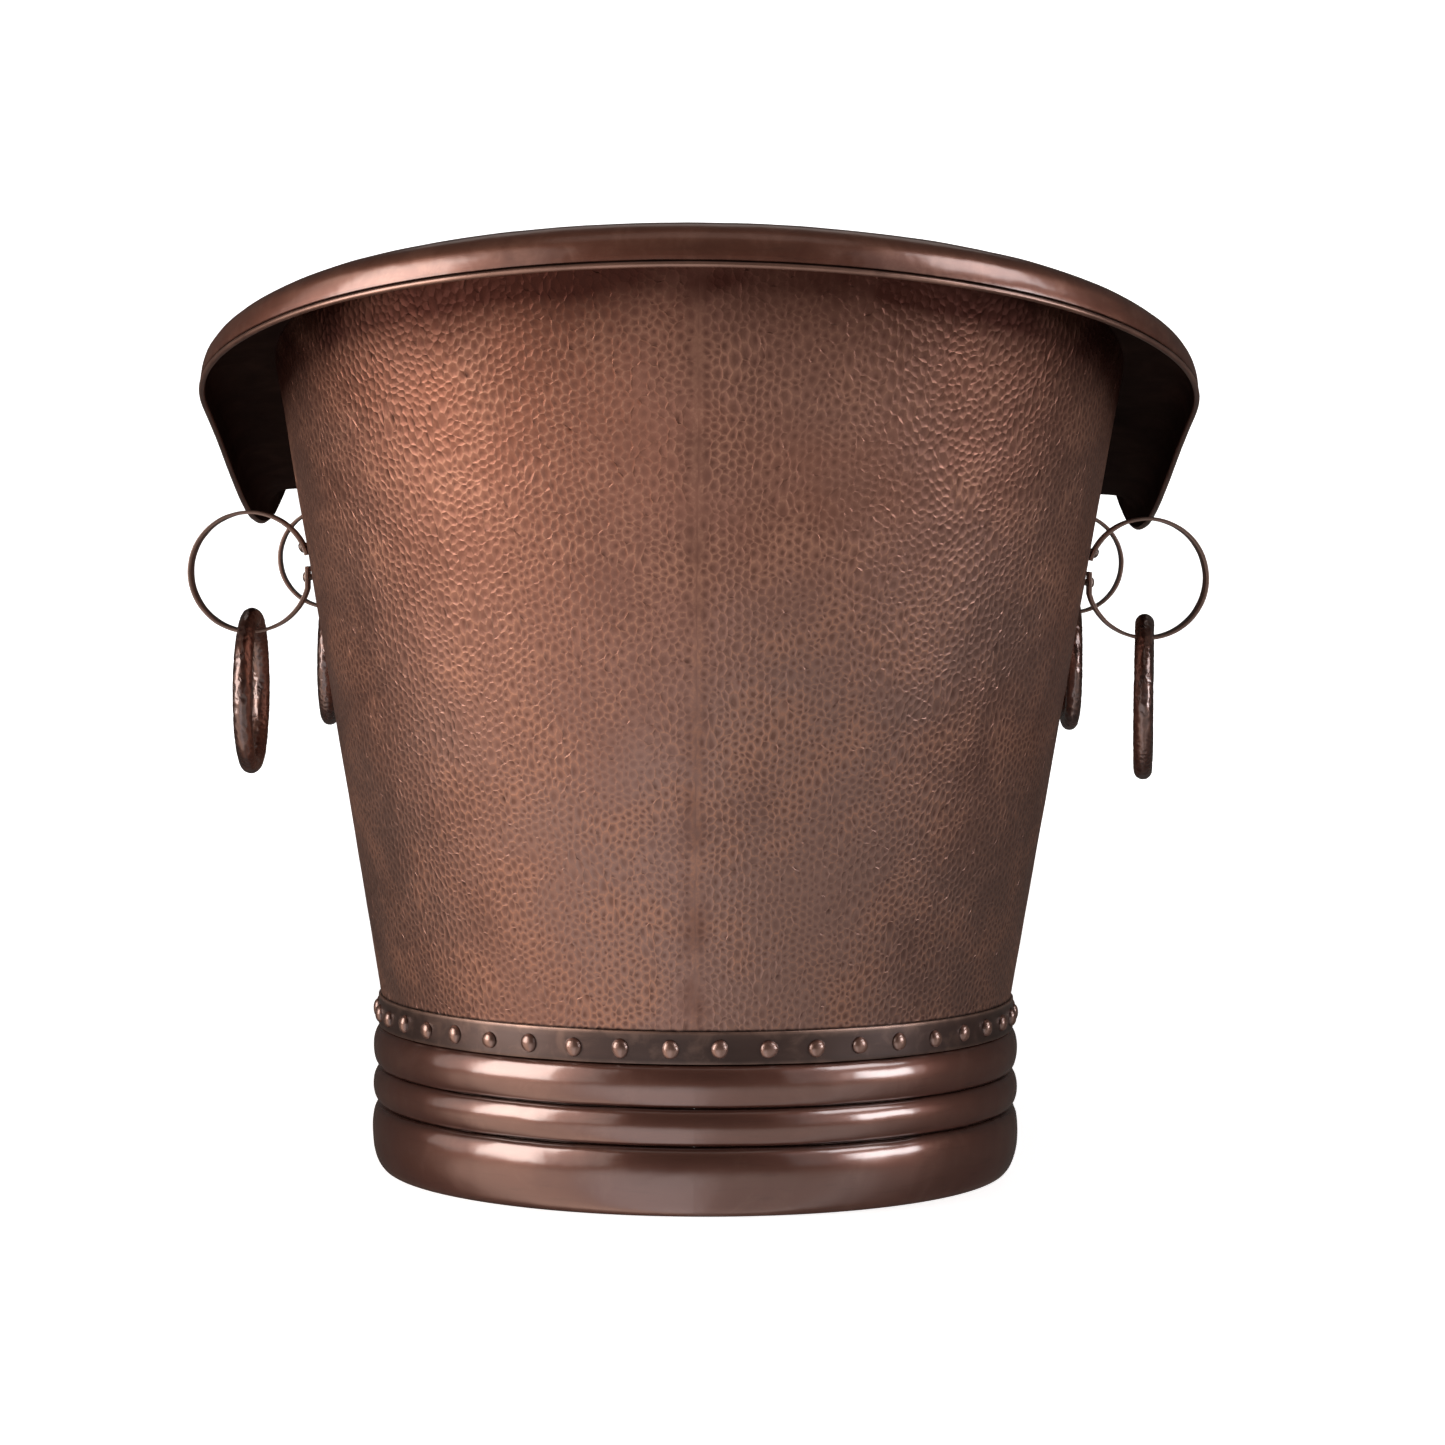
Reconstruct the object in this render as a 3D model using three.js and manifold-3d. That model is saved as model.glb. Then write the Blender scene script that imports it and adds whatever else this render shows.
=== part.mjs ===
// Double-ended hammered copper bathtub with a dipped rim, a riveted and moulded
// foot, and four drop-ring handles.  Millimetres, +Z up, +Y along the tub,
// origin on the floor under the middle of the tub.
import * as THREE from 'three';
import { mergeVertices } from 'three/addons/utils/BufferGeometryUtils.js';
import Module from 'manifold-3d';

// ---------------------------------------------------------------- dimensions
const GAP = 0.3;            // clearance kept between pieces that touch
const HALF_GAP = 0.15;      // half the clearance at the two end seams

// plan of every horizontal section: two straight sides of half-length Y0 joined
// by two half-circles of radius R
const BASE_Y0 = 290;        // wall, at the top of the foot
const BASE_R = 273.5;
const TOP_Y0 = 440;         // wall, at the rim
const TOP_R = 350;
const RIM_OVERHANG = 62;    // wall to the outer edge of the rim
const WALL_T = 1.7;         // copper sheet
const WALL_BOTTOM_Z = 126;  // lower edge of the wall, lapped behind the band
const WALL_COLLAR_Z = 151.6; // above this the wall leans outwards

// height of the rim's lower edge along the tub: half-length, height
const SHEER = [[0, 553], [75, 557.5], [149, 571], [236, 594], [347, 627],
  [450, 654], [530, 674], [650, 703], [750, 727], [852, 750]];
const RIM_DEPTH = 34;       // flange level above the rim's lower edge
const RIM_T = 2.0;
const BEAD_R = 2.9;         // rolled wire at the rim's lower edge
const BEAD_O = 60.2;        // its offset from the wall
const BEAD_H = -31.1;       // its height from the flange level

// inner basin
const BASIN_T = 2.0;
const BASIN_TOP_O = -26.9;  // basin face at the rim, offset from the wall
const BASIN_LOW = [300, 238, 190];   // half-length, radius, height where the sides end
const BASIN_BEND = [[297, 224, 156], [291, 200, 134], [282, 168, 125]];
const FLOOR_HOLE_Z = 120;
const DRAIN_HOLE_R = 23;

// foot
const BAND_T = 2.0, BAND_Z0 = 124.8, BAND_Z1 = 151.3;
const RIVET_COUNT = 72, RIVET_Z = 137, RIVET_R = 6.4, RIVET_H = 4.8;
const SKIRT_O = -1.9 - GAP, SKIRT_T = 1.9;
const SKIRT_Z0 = 6.4, SKIRT_Z1 = 146;
const RIB_T = 1.6;
const RIB_UPPER = [88.9, 124.4], RIB_LOWER = [57.7, 88.5], RIB_PROUD = 6.6;
const PLINTH_Z1 = 57.3, PLINTH_PROUD = 7.6, PLINTH_T = 1.8, HEM_W = 16;

// cross bearers under the basin
const BEARER = { w: 40, h: 30, t: 2.5, y: 205, top: 116.0, len: 522 };

// handle brackets (flat strap bent round) and drop rings
const BRACKET_X = 380, BRACKET_Y = 370, BRACKET_Z = 516;
const STRAP_R = 50.5, STRAP_T = 3, STRAP_W = 24;
const RING_R = 62.5, RING_TUBE = 8.5;
const RING_X = 379, RING_Z = BRACKET_Z - (STRAP_R - STRAP_T / 2) + RING_TUBE + 2.2;
const RING_TURN = { front_left: -1, front_right: -6.5, rear_left: 0, rear_right: 0 };

// mesh fineness
const ARC = 8, SIDE = 8;

// ------------------------------------------------------------------ materials
const mat = (color, roughness, metalness) =>
  new THREE.MeshStandardMaterial({ color, roughness, metalness });
const copperHammered = () => mat(0x8a5846, 0.42, 1.0);
const copperSmooth = () => mat(0x7d5548, 0.28, 1.0);
const copperDark = () => mat(0x553833, 0.38, 1.0);
const copperHandle = () => mat(0x6b4438, 0.33, 1.0);
const copperStrap = () => mat(0x5f4a42, 0.36, 1.0);
const brassDrain = () => mat(0x6a4a38, 0.3, 1.0);
const rubberBlack = () => mat(0x1b1b1b, 0.85, 0.0);
const steelGrey = () => mat(0x5a5d60, 0.5, 0.9);

const root = new THREE.Group();
root.name = 'hammered_copper_bathtub';
const add = (name, geometry, material, turn) => {
  const m = new THREE.Mesh(geometry, material);
  m.name = name;
  if (turn) m.rotation.z = turn;
  root.add(m);
  return m;
};

// ------------------------------------------------------------- geometry tools
// monotone cubic through the sheer table
const slopes = (() => {
  const n = SHEER.length, d = [], h = [], m = new Array(n).fill(0);
  for (let i = 0; i < n - 1; i++) {
    h.push(SHEER[i + 1][0] - SHEER[i][0]);
    d.push((SHEER[i + 1][1] - SHEER[i][1]) / h[i]);
  }
  for (let i = 1; i < n - 1; i++) {
    const w1 = 2 * h[i] + h[i - 1], w2 = h[i] + 2 * h[i - 1];
    m[i] = (w1 + w2) / (w1 / d[i - 1] + w2 / d[i]);
  }
  m[n - 1] = d[n - 2];
  return m;
})();
function edgeHeight(y) {
  const a = Math.abs(y);
  let i = 0;
  while (i < SHEER.length - 2 && a > SHEER[i + 1][0]) i++;
  const [x0, y0] = SHEER[i], [x1, y1] = SHEER[i + 1];
  const h = x1 - x0, t = Math.min((a - x0) / h, 1), t2 = t * t, t3 = t2 * t;
  return (2 * t3 - 3 * t2 + 1) * y0 + (t3 - 2 * t2 + t) * h * slopes[i] +
    (-2 * t3 + 3 * t2) * y1 + (t3 - t2) * h * slopes[i + 1];
}

// stations run from the near end's middle, past the +X side, to the far end's middle
const stations = [];
for (let i = 0; i <= ARC; i++) stations.push({ end: -1, phi: (-90 + 90 * i / ARC) * Math.PI / 180 });
for (let i = 1; i < SIDE; i++) stations.push({ end: 0, a: -1 + 2 * i / SIDE });
for (let i = 0; i <= ARC; i++) stations.push({ end: 1, phi: (90 * i / ARC) * Math.PI / 180 });

// a plan point on the ring (y0, r) at a station
function plan(st, y0, r) {
  if (st.end === 0) return [r, st.a * y0];
  return [r * Math.cos(st.phi), st.end * y0 + r * Math.sin(st.phi)];
}
// flange level of the rim at a station
const rimLevel = (st) => edgeHeight(plan(st, TOP_Y0, TOP_R + RIM_OVERHANG)[1]) + RIM_DEPTH;

// closed mesh from rings of section points; each ring is a closed polygon
function meshFromRings(rings, closed, capShape) {
  const M = rings[0].length, pos = [], idx = [];
  for (const ring of rings) for (const p of ring) pos.push(...p);
  const n = rings.length, last = closed ? n : n - 1;
  for (let i = 0; i < last; i++) {
    const a = i * M, b = ((i + 1) % n) * M;
    for (let j = 0; j < M; j++) {
      const k = (j + 1) % M;
      idx.push(a + j, b + j, b + k, a + j, b + k, a + k);
    }
  }
  if (!closed) {
    const flat = capShape.map((p) => new THREE.Vector2(p[0], p[1]));
    const tris = THREE.ShapeUtils.triangulateShape(flat, []);
    const total = tris.reduce((v, t) => v + THREE.ShapeUtils.area(t.map((i) => flat[i])), 0);
    // wound the way the section is listed at the first end, the other way at the last
    const same = total * THREE.ShapeUtils.area(flat) > 0;
    const e = (n - 1) * M;
    for (const [a, b, c] of tris) {
      const [p, q] = same ? [b, c] : [c, b];
      idx.push(a, p, q, e + a, e + q, e + p);
    }
  }
  return orient(pos, idx);
}
function signedVolume(pos, idx) {
  let v = 0;
  for (let t = 0; t < idx.length; t += 3) {
    const [a, b, c] = [idx[t] * 3, idx[t + 1] * 3, idx[t + 2] * 3];
    v += pos[a] * (pos[b + 1] * pos[c + 2] - pos[b + 2] * pos[c + 1]) -
      pos[a + 1] * (pos[b] * pos[c + 2] - pos[b + 2] * pos[c]) +
      pos[a + 2] * (pos[b] * pos[c + 1] - pos[b + 1] * pos[c]);
  }
  return v / 6;
}
function orient(pos, idx) {
  if (signedVolume(pos, idx) < 0) {
    for (let t = 0; t < idx.length; t += 3) { const s = idx[t + 1]; idx[t + 1] = idx[t + 2]; idx[t + 2] = s; }
  }
  const g = new THREE.BufferGeometry();
  g.setAttribute('position', new THREE.Float32BufferAttribute(pos, 3));
  g.setIndex(idx);
  g.computeVertexNormals();
  return g;
}
// half of a ring-shaped piece on the +X side, cut off square at the end seams
function halfLoop(section) {
  const rings = stations.map((st, i) => {
    const ring = section(st);
    const end = i === 0 || i === stations.length - 1;
    return ring.map(([x, y, z]) => [end ? HALF_GAP : x, y, z]);
  });
  // cap polygon in (distance from the tub's middle, height)
  const cap = rings[0].map((p) => [-p[1], p[2]]);
  return meshFromRings(rings, false, cap);
}
function fullLoop(section) {
  const one = stations.slice(0, -1).map(section);
  const two = stations.slice(0, -1).map((st) => section(st).map(([x, y, z]) => [-x, -y, z]));
  return meshFromRings([...one, ...two], true);
}
// section given as [offset, height] pairs around a fixed plan ring
const fixedSection = (y0, r, pts) => (st) =>
  pts.map(([o, z]) => { const [x, y] = plan(st, y0, r + o); return [x, y, z]; });

// manifold solids, used for cuts and joins only
const wasm = await Module();
wasm.setup();
function toSolid(g) {
  let q = g.clone();
  q.deleteAttribute('normal');
  if (q.attributes.uv) q.deleteAttribute('uv');
  q = mergeVertices(q, 1e-4);
  return new wasm.Manifold(new wasm.Mesh({
    numProp: 3,
    vertProperties: new Float32Array(q.attributes.position.array),
    triVerts: new Uint32Array(q.index.array),
  }));
}
function fromSolid(s) {
  const m = s.getMesh();
  const g = new THREE.BufferGeometry();
  g.setAttribute('position', new THREE.Float32BufferAttribute(new Float32Array(m.vertProperties), 3));
  g.setIndex([...m.triVerts]);
  g.computeVertexNormals();
  return g;
}
// turned solid about +Z from [radius, height] pairs listed round the section
const turned = (pts, seg) => {
  const p = pts.map(([r, z]) => new THREE.Vector2(r, z));
  p.push(p[0].clone());
  const g = new THREE.LatheGeometry(p, seg);
  g.rotateX(Math.PI / 2);
  return g;
};
// turned solid whose profile starts and ends on the axis
const turnedSolid = (pts, seg) => {
  const g = new THREE.LatheGeometry(pts.map(([r, z]) => new THREE.Vector2(r, z)), seg);
  g.rotateX(Math.PI / 2);
  return g;
};
function clean(g) {
  let q = g.clone();
  q.deleteAttribute('normal');
  if (q.attributes.uv) q.deleteAttribute('uv');
  q = mergeVertices(q, 1e-4);
  const idx = [], a = q.index.array;
  for (let t = 0; t < a.length; t += 3) {
    if (a[t] !== a[t + 1] && a[t + 1] !== a[t + 2] && a[t] !== a[t + 2]) idx.push(a[t], a[t + 1], a[t + 2]);
  }
  return orient([...q.attributes.position.array], idx);
}

// ----------------------------------------------------------------- outer wall
// two hammered sheets, one each side, joined by an upright seam at each end
function wallSection(st) {
  const top = rimLevel(st) - 0.9;
  const pts = [];
  const [bx, by] = plan(st, BASE_Y0, BASE_R), [tx, ty] = plan(st, TOP_Y0, TOP_R);
  const [bix, biy] = plan(st, BASE_Y0, BASE_R - WALL_T), [tix, tiy] = plan(st, TOP_Y0, TOP_R - WALL_T);
  pts.push([bx, by, WALL_BOTTOM_Z]);
  for (const s of [0, 1 / 3, 2 / 3, 1]) pts.push([bx + s * (tx - bx), by + s * (ty - by), WALL_COLLAR_Z + s * (top - WALL_COLLAR_Z)]);
  for (const s of [1, 2 / 3, 1 / 3, 0]) pts.push([bix + s * (tix - bix), biy + s * (tiy - biy), WALL_COLLAR_Z + s * (top - WALL_COLLAR_Z)]);
  pts.push([bix, biy, WALL_BOTTOM_Z]);
  return pts;
}
add('wall_right', halfLoop(wallSection), copperHammered());
add('wall_left', halfLoop(wallSection), copperHammered(), Math.PI);

// ------------------------------------------------------------------------ rim
// rolled flange: inner roll over the basin, flat top, outer lip turned down
const RIM_OUTER = [[-32.6, -15], [-31, -7.4], [-27, -1.8], [-19, 0.8], [0, 1.5], [24, 1.5],
  [41, 0.2], [51, -3.8], [57.4, -10.5], [60.4, -19], [61.6, -27.8]];
const RIM_INNER = [[59.6, -27.8], [58.4, -19.4], [55.7, -11.6], [49.8, -5.5], [40.5, -1.8],
  [24, -0.5], [0, -0.5], [-18.4, -1.2], [-25.6, -3.4], [-29, -8.2], [-30.6, -15]];
const rimSection = (st) => {
  const z = rimLevel(st);
  return [...RIM_OUTER, ...RIM_INNER].map(([o, h]) => {
    const [x, y] = plan(st, TOP_Y0, TOP_R + o);
    return [x, y, z + h];
  });
};
add('rim_flange', fullLoop(rimSection), copperSmooth());
// wire bead rolled into the lip's lower edge
const beadSection = (st) => {
  const z = rimLevel(st) + BEAD_H, out = [];
  for (let i = 0; i < 7; i++) {
    const a = Math.PI / 2 + 2 * Math.PI * (i + 0.5) / 7;
    const [x, y] = plan(st, TOP_Y0, TOP_R + BEAD_O + BEAD_R * Math.cos(a));
    out.push([x, y, z + BEAD_R * Math.sin(a)]);
  }
  return out;
};
add('rim_bead', fullLoop(beadSection), copperDark());

// ---------------------------------------------------------------------- basin
// inner tub: two side shells welded along the long sides, and a floor pan with a
// rounded, turned-up edge that falls to the drain hole
const basinOut = (st, y0, r, z, outw, down) => [[...plan(st, y0, r), z], [...plan(st, y0, r + outw), z - down]];
function basinShellSection(st) {
  const zt = rimLevel(st) - 9.5, y0 = TOP_Y0, r = TOP_R + BASIN_TOP_O;
  const low = BASIN_LOW[2] + HALF_GAP;
  const rows = [basinOut(st, y0, r, zt, 2.0, 0),
    basinOut(st, (y0 + BASIN_LOW[0]) / 2, (r + BASIN_LOW[1]) / 2, (zt + low) / 2, 2.1, 0),
    basinOut(st, BASIN_LOW[0], BASIN_LOW[1], low, 2.1, 0.3)];
  return [...rows.map((q) => q[0]), ...rows.map((q) => q[1]).reverse()];
}
function basinPanSection(st) {
  const outw = [2.1, 1.8, 1.1, 0.4], down = [0.3, 1.0, 1.8, 2.0];
  const rows = [[BASIN_LOW[0], BASIN_LOW[1], BASIN_LOW[2] - HALF_GAP], ...BASIN_BEND]
    .map(([y0, r, z], i) => basinOut(st, y0, r, z, outw[i], down[i]));
  const [px, py] = plan(st, 150, 150);
  const ang = Math.atan2(py, px);
  const hole = [DRAIN_HOLE_R * Math.cos(ang), DRAIN_HOLE_R * Math.sin(ang)];
  return [...rows.map((q) => q[0]), [...hole, FLOOR_HOLE_Z], [...hole, FLOOR_HOLE_Z - BASIN_T],
    ...rows.map((q) => q[1]).reverse()];
}
// U-shaped piece round the near end, cut off square at the middle of both long sides
function endLoop(section) {
  const right = stations.filter((st) => st.end < 0 || (st.end === 0 && st.a < 1e-9));
  const square = (ring) => ring.map(([x, , z]) => [x, -HALF_GAP, z]);
  const rings = right.map((st, i) => (i === right.length - 1 ? square(section(st)) : section(st)));
  const mirrored = rings.slice(1).reverse().map((ring) => ring.map(([x, y, z]) => [-x, y, z]));
  return meshFromRings([...mirrored, ...rings], false, rings[rings.length - 1].map((p) => [p[0], p[2]]));
}
add('basin_shell_front', endLoop(basinShellSection), copperHammered());
add('basin_shell_rear', endLoop(basinShellSection), copperHammered(), Math.PI);
add('basin_pan', fullLoop(basinPanSection), copperHammered());

// ----------------------------------------------------------------------- foot
// riveted strap that closes the wall over the foot, rivet heads swaged into it
const bandHalf = () => {
  let solid = toSolid(clean(halfLoop(fixedSection(BASE_Y0, BASE_R,
    [[GAP, BAND_Z0], [GAP + BAND_T, BAND_Z0], [GAP + BAND_T, BAND_Z1], [GAP, BAND_Z1]]))));
  const r = BASE_R + GAP + BAND_T;
  const quarter = Math.PI / 2 * r, half = 2 * (quarter + BASE_Y0), n = RIVET_COUNT / 2;
  for (let i = 0; i < n; i++) {
    const s = (i + 0.5) * half / n;
    let x, y, a;
    if (s < quarter) { a = -Math.PI / 2 + s / r; x = r * Math.cos(a); y = -BASE_Y0 + r * Math.sin(a); }
    else if (s < quarter + 2 * BASE_Y0) { a = 0; x = r; y = -BASE_Y0 + (s - quarter); }
    else { a = (s - quarter - 2 * BASE_Y0) / r; x = r * Math.cos(a); y = BASE_Y0 + r * Math.sin(a); }
    const dome = new THREE.LatheGeometry([[0, -1.8], [RIVET_R, -1.8],
      [RIVET_R * 0.86, RIVET_H * 0.55], [0, RIVET_H]].map(([u, v]) => new THREE.Vector2(u, v)), 6);
    dome.rotateZ(-Math.PI / 2);
    dome.rotateZ(a);
    dome.translate(x, y, RIVET_Z);
    solid = solid.add(toSolid(clean(dome)));
  }
  return fromSolid(solid);
};
const band = bandHalf();
add('rivet_band_right', band, copperDark());
add('rivet_band_left', band.clone(), copperDark(), Math.PI);

// upright sleeve behind the mouldings; carries the wall and the bearers
const skirtSection = fixedSection(BASE_Y0, BASE_R,
  [[SKIRT_O - SKIRT_T, SKIRT_Z0], [SKIRT_O, SKIRT_Z0], [SKIRT_O, SKIRT_Z1], [SKIRT_O - SKIRT_T, SKIRT_Z1]]);
add('foot_skirt_right', halfLoop(skirtSection), copperDark());
add('foot_skirt_left', halfLoop(skirtSection), copperDark(), Math.PI);

// pressed half-round moulding, open at the back
const ribSection = (z0, z1) => {
  const back = SKIRT_O + GAP, zc = (z0 + z1) / 2, h = (z1 - z0) / 2, out = [], inn = [];
  const n = 4;
  for (let i = 0; i <= n; i++) {
    const a = -Math.PI / 2 + Math.PI * i / n;
    out.push([back + (RIB_PROUD - back) * Math.cos(a), zc + h * Math.sin(a)]);
  }
  for (let i = n; i >= 0; i--) {
    const a = -Math.PI / 2 + Math.PI * i / n;
    inn.push([back + (RIB_PROUD - RIB_T - back) * Math.cos(a), zc + (h - RIB_T) * Math.sin(a)]);
  }
  return fixedSection(BASE_Y0, BASE_R, [...out, ...inn]);
};
const ribU = halfLoop(ribSection(...RIB_UPPER)), ribL = halfLoop(ribSection(...RIB_LOWER));
add('rib_upper_right', ribU, copperSmooth());
add('rib_upper_left', ribU.clone(), copperSmooth(), Math.PI);
add('rib_lower_right', ribL, copperSmooth());
add('rib_lower_left', ribL.clone(), copperSmooth(), Math.PI);

// belly moulding of the plinth, tucked in to a flat hem that stands on the floor
const PB = SKIRT_O + GAP;
const plinthSection = fixedSection(BASE_Y0, BASE_R, [
  [PB, PLINTH_Z1], [3.6, 54.4], [7.0, 45], [PLINTH_PROUD, 34], [5.9, 18], [0.6, 5], [-5, 0],
  [-5 - HEM_W, 0], [-5 - HEM_W, PLINTH_T], [-5.6, PLINTH_T],
  [-0.8, 6.2], [4.1, 18.6], [5.8, 34], [5.3, 44.2], [2.6, 52.6], [PB, 55.4]]);
add('plinth_right', halfLoop(plinthSection), copperSmooth());
add('plinth_left', halfLoop(plinthSection), copperSmooth(), Math.PI);

// ------------------------------------------------------------------- bearers
function bearer() {
  const s = new THREE.Shape();
  const w = BEARER.w / 2, h = BEARER.h, t = BEARER.t;
  s.moveTo(-w, 0); s.lineTo(w, 0); s.lineTo(w, h); s.lineTo(-w, h); s.lineTo(-w, 0);
  const hole = new THREE.Path();
  hole.moveTo(-w + t, t); hole.lineTo(-w + t, h - t); hole.lineTo(w - t, h - t); hole.lineTo(w - t, t); hole.lineTo(-w + t, t);
  s.holes.push(hole);
  const g = new THREE.ExtrudeGeometry(s, { depth: BEARER.len, bevelEnabled: false, steps: 1 });
  g.translate(0, 0, -BEARER.len / 2);
  g.rotateX(Math.PI / 2); g.rotateZ(Math.PI / 2);
  g.translate(0, 0, BEARER.top - BEARER.h);
  return clean(g);
}
for (const [name, s] of [['bearer_front', -1], ['bearer_rear', 1]]) {
  const m = add(name, bearer(), steelGrey());
  m.position.y = s * BEARER.y;
}

// ------------------------------------------------------------------- handles
// strap centre line in (outwards, up), seen along the tub; it starts at its upper
// end on the wall, goes round the outside and ends in an upright tab on the wall
const strapPath = [];
for (let d = 163; d >= -160; d -= 17) strapPath.push([STRAP_R * Math.cos(d * Math.PI / 180), STRAP_R * Math.sin(d * Math.PI / 180)]);
const tabX = -48.6;
strapPath.push([tabX, -12.5], [tabX, -4], [tabX, 5]);
const RIVETS = [{ p: [-45.08, 21.5], a: 154.5 }, { p: [tabX, -4], a: 180 }];
function strapGeometry() {
  const n = strapPath.length, left = [], right = [];
  for (let i = 0; i < n; i++) {
    const p = strapPath[i], a = strapPath[Math.max(i - 1, 0)], b = strapPath[Math.min(i + 1, n - 1)];
    const dx = b[0] - a[0], dz = b[1] - a[1], l = Math.hypot(dx, dz), nx = -dz / l, nz = dx / l;
    left.push([p[0] + nx * STRAP_T / 2, p[1] + nz * STRAP_T / 2]);
    right.push([p[0] - nx * STRAP_T / 2, p[1] - nz * STRAP_T / 2]);
  }
  const s = new THREE.Shape([...left, ...right.reverse()].map((p) => new THREE.Vector2(p[0], p[1])));
  const g = new THREE.ExtrudeGeometry(s, { depth: STRAP_W, bevelEnabled: false, steps: 1 });
  g.translate(0, 0, -STRAP_W / 2);
  g.rotateX(Math.PI / 2);
  let solid = toSolid(clean(g));
  for (const r of RIVETS) {
    const c = new THREE.CylinderGeometry(2.8, 2.8, 12, 8);
    c.rotateZ(Math.PI / 2);
    c.rotateY(-r.a * Math.PI / 180);
    c.translate(r.p[0], 0, r.p[1]);
    solid = solid.subtract(toSolid(clean(c)));
  }
  return fromSolid(solid);
}
// rivet: domed head inside the loop, shank through the strap to the wall
function strapRivet(r, shank) {
  const g = new THREE.LatheGeometry([[0, -shank], [2.3, -shank], [2.3, STRAP_T / 2 + 0.3], [4.6, STRAP_T / 2 + 0.3],
    [4.0, STRAP_T / 2 + 2], [0, STRAP_T / 2 + 3]].map(([u, v]) => new THREE.Vector2(u, v)), 6);
  g.rotateZ(-Math.PI / 2);                 // head towards +X
  g.rotateY(-(r.a - 180) * Math.PI / 180); // head away from the wall
  g.translate(r.p[0], 0, r.p[1]);
  return clean(g);
}
const strap = strapGeometry();
const places = { front_left: [-1, -1], front_right: [1, -1], rear_left: [-1, 1], rear_right: [1, 1] };
for (const [place, [sx, sy]] of Object.entries(places)) {
  const g = new THREE.Group();
  g.position.set(sx * BRACKET_X, sy * BRACKET_Y, BRACKET_Z);
  g.rotation.z = sx > 0 ? 0 : Math.PI;
  root.add(g);
  const put = (name, geometry, material) => {
    const m = new THREE.Mesh(geometry, material);
    m.name = name;
    g.add(m);
  };
  put(`bracket_${place}`, strap.clone(), copperStrap());
  put(`bracket_rivet_top_${place}`, strapRivet(RIVETS[0], 3.4), copperHandle());
  put(`bracket_rivet_tab_${place}`, strapRivet(RIVETS[1], 4.2), copperHandle());
  // drop ring hanging in the strap
  const ring = new THREE.TorusGeometry(RING_R, RING_TUBE, 8, 22);
  ring.rotateY(Math.PI / 2);
  ring.translate(0, 0, -RING_R);
  const r = new THREE.Mesh(clean(ring), copperHandle());
  r.name = `ring_${place}`;
  r.position.set(sx * RING_X, sy * BRACKET_Y, RING_Z);
  r.rotation.z = RING_TURN[place] * Math.PI / 180;
  root.add(r);
}

// --------------------------------------------------------------------- drain
// strainer cup through the floor hole, washer and nut under the floor, tailpiece, plug
add('drain_cup', clean(turned([[21.8, 113], [21.8, 122.4], [34, 122.9], [36, 124.4], [35, 125.6], [24, 124.6],
  [19.2, 121.4], [19.2, 88], [21.8, 88]], 18)), brassDrain());
add('drain_washer', clean(turned([[22.3, 115.2], [32, 115.2], [32, 117.4], [22.3, 117.4]], 18)), rubberBlack());
const nutBody = new THREE.CylinderGeometry(35, 35, 8.4, 6);
nutBody.rotateX(Math.PI / 2);
const nutBore = new THREE.CylinderGeometry(22.4, 22.4, 20, 18);
nutBore.rotateX(Math.PI / 2);
const nut = fromSolid(toSolid(clean(nutBody)).subtract(toSolid(clean(nutBore))));
nut.translate(0, 0, 110.7);
add('drain_nut', nut, brassDrain());
add('drain_tailpiece', clean(turned([[16.4, 22], [18.8, 22], [18.8, 100], [16.4, 100]], 18)), brassDrain());
add('drain_plug', clean(turnedSolid([[0, 104], [3.2, 104], [3.2, 118], [17.6, 119.6], [18.6, 122], [21.4, 125.2],
  [27.5, 126.6], [27.8, 128], [18, 131.4], [6, 132.8], [6, 140], [0, 141.2]], 18)), brassDrain());

export default root;
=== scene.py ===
import math
import random

import bmesh
import bpy
import numpy as np
from mathutils import Matrix, Vector, kdtree, noise


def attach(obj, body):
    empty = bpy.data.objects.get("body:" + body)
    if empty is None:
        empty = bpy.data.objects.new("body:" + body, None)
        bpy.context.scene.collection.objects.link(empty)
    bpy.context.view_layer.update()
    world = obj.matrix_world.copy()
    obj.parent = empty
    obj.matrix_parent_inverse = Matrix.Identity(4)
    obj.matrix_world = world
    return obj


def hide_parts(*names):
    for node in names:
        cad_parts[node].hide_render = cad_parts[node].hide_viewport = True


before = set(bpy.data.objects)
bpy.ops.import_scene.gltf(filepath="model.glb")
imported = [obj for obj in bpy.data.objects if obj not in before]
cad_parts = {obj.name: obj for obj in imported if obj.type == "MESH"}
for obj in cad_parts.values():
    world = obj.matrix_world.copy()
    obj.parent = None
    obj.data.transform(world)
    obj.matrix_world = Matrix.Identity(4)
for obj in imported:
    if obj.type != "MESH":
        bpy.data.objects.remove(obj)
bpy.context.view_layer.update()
rng = np.random.default_rng(7)

# ------------------------------------------------------------------ dimensions
# millimetres, the same numbers as the solids
MM = 0.001
BASE_Y0, BASE_R, TOP_Y0, TOP_R = 290.0, 273.5, 440.0, 350.0
RIM_OVERHANG, WALL_T, WALL_BOTTOM, WALL_COLLAR = 62.0, 1.7, 126.0, 151.6
SHEER = np.array([[0, 553], [75, 557.5], [149, 571], [236, 594], [347, 627],
                  [450, 654], [530, 674], [650, 703], [750, 727], [852, 750]], float)
RIM_DEPTH, BEAD_R, BEAD_O, BEAD_H = 34.0, 2.9, 60.2, -31.1
SKIRT_O = -2.2

_h = np.diff(SHEER[:, 0])
_d = np.diff(SHEER[:, 1]) / _h
_m = np.zeros(len(SHEER))
for _i in range(1, len(SHEER) - 1):
    _w1, _w2 = 2 * _h[_i] + _h[_i - 1], _h[_i] + 2 * _h[_i - 1]
    _m[_i] = (_w1 + _w2) / (_w1 / _d[_i - 1] + _w2 / _d[_i])
_m[-1] = _d[-1]


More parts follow.
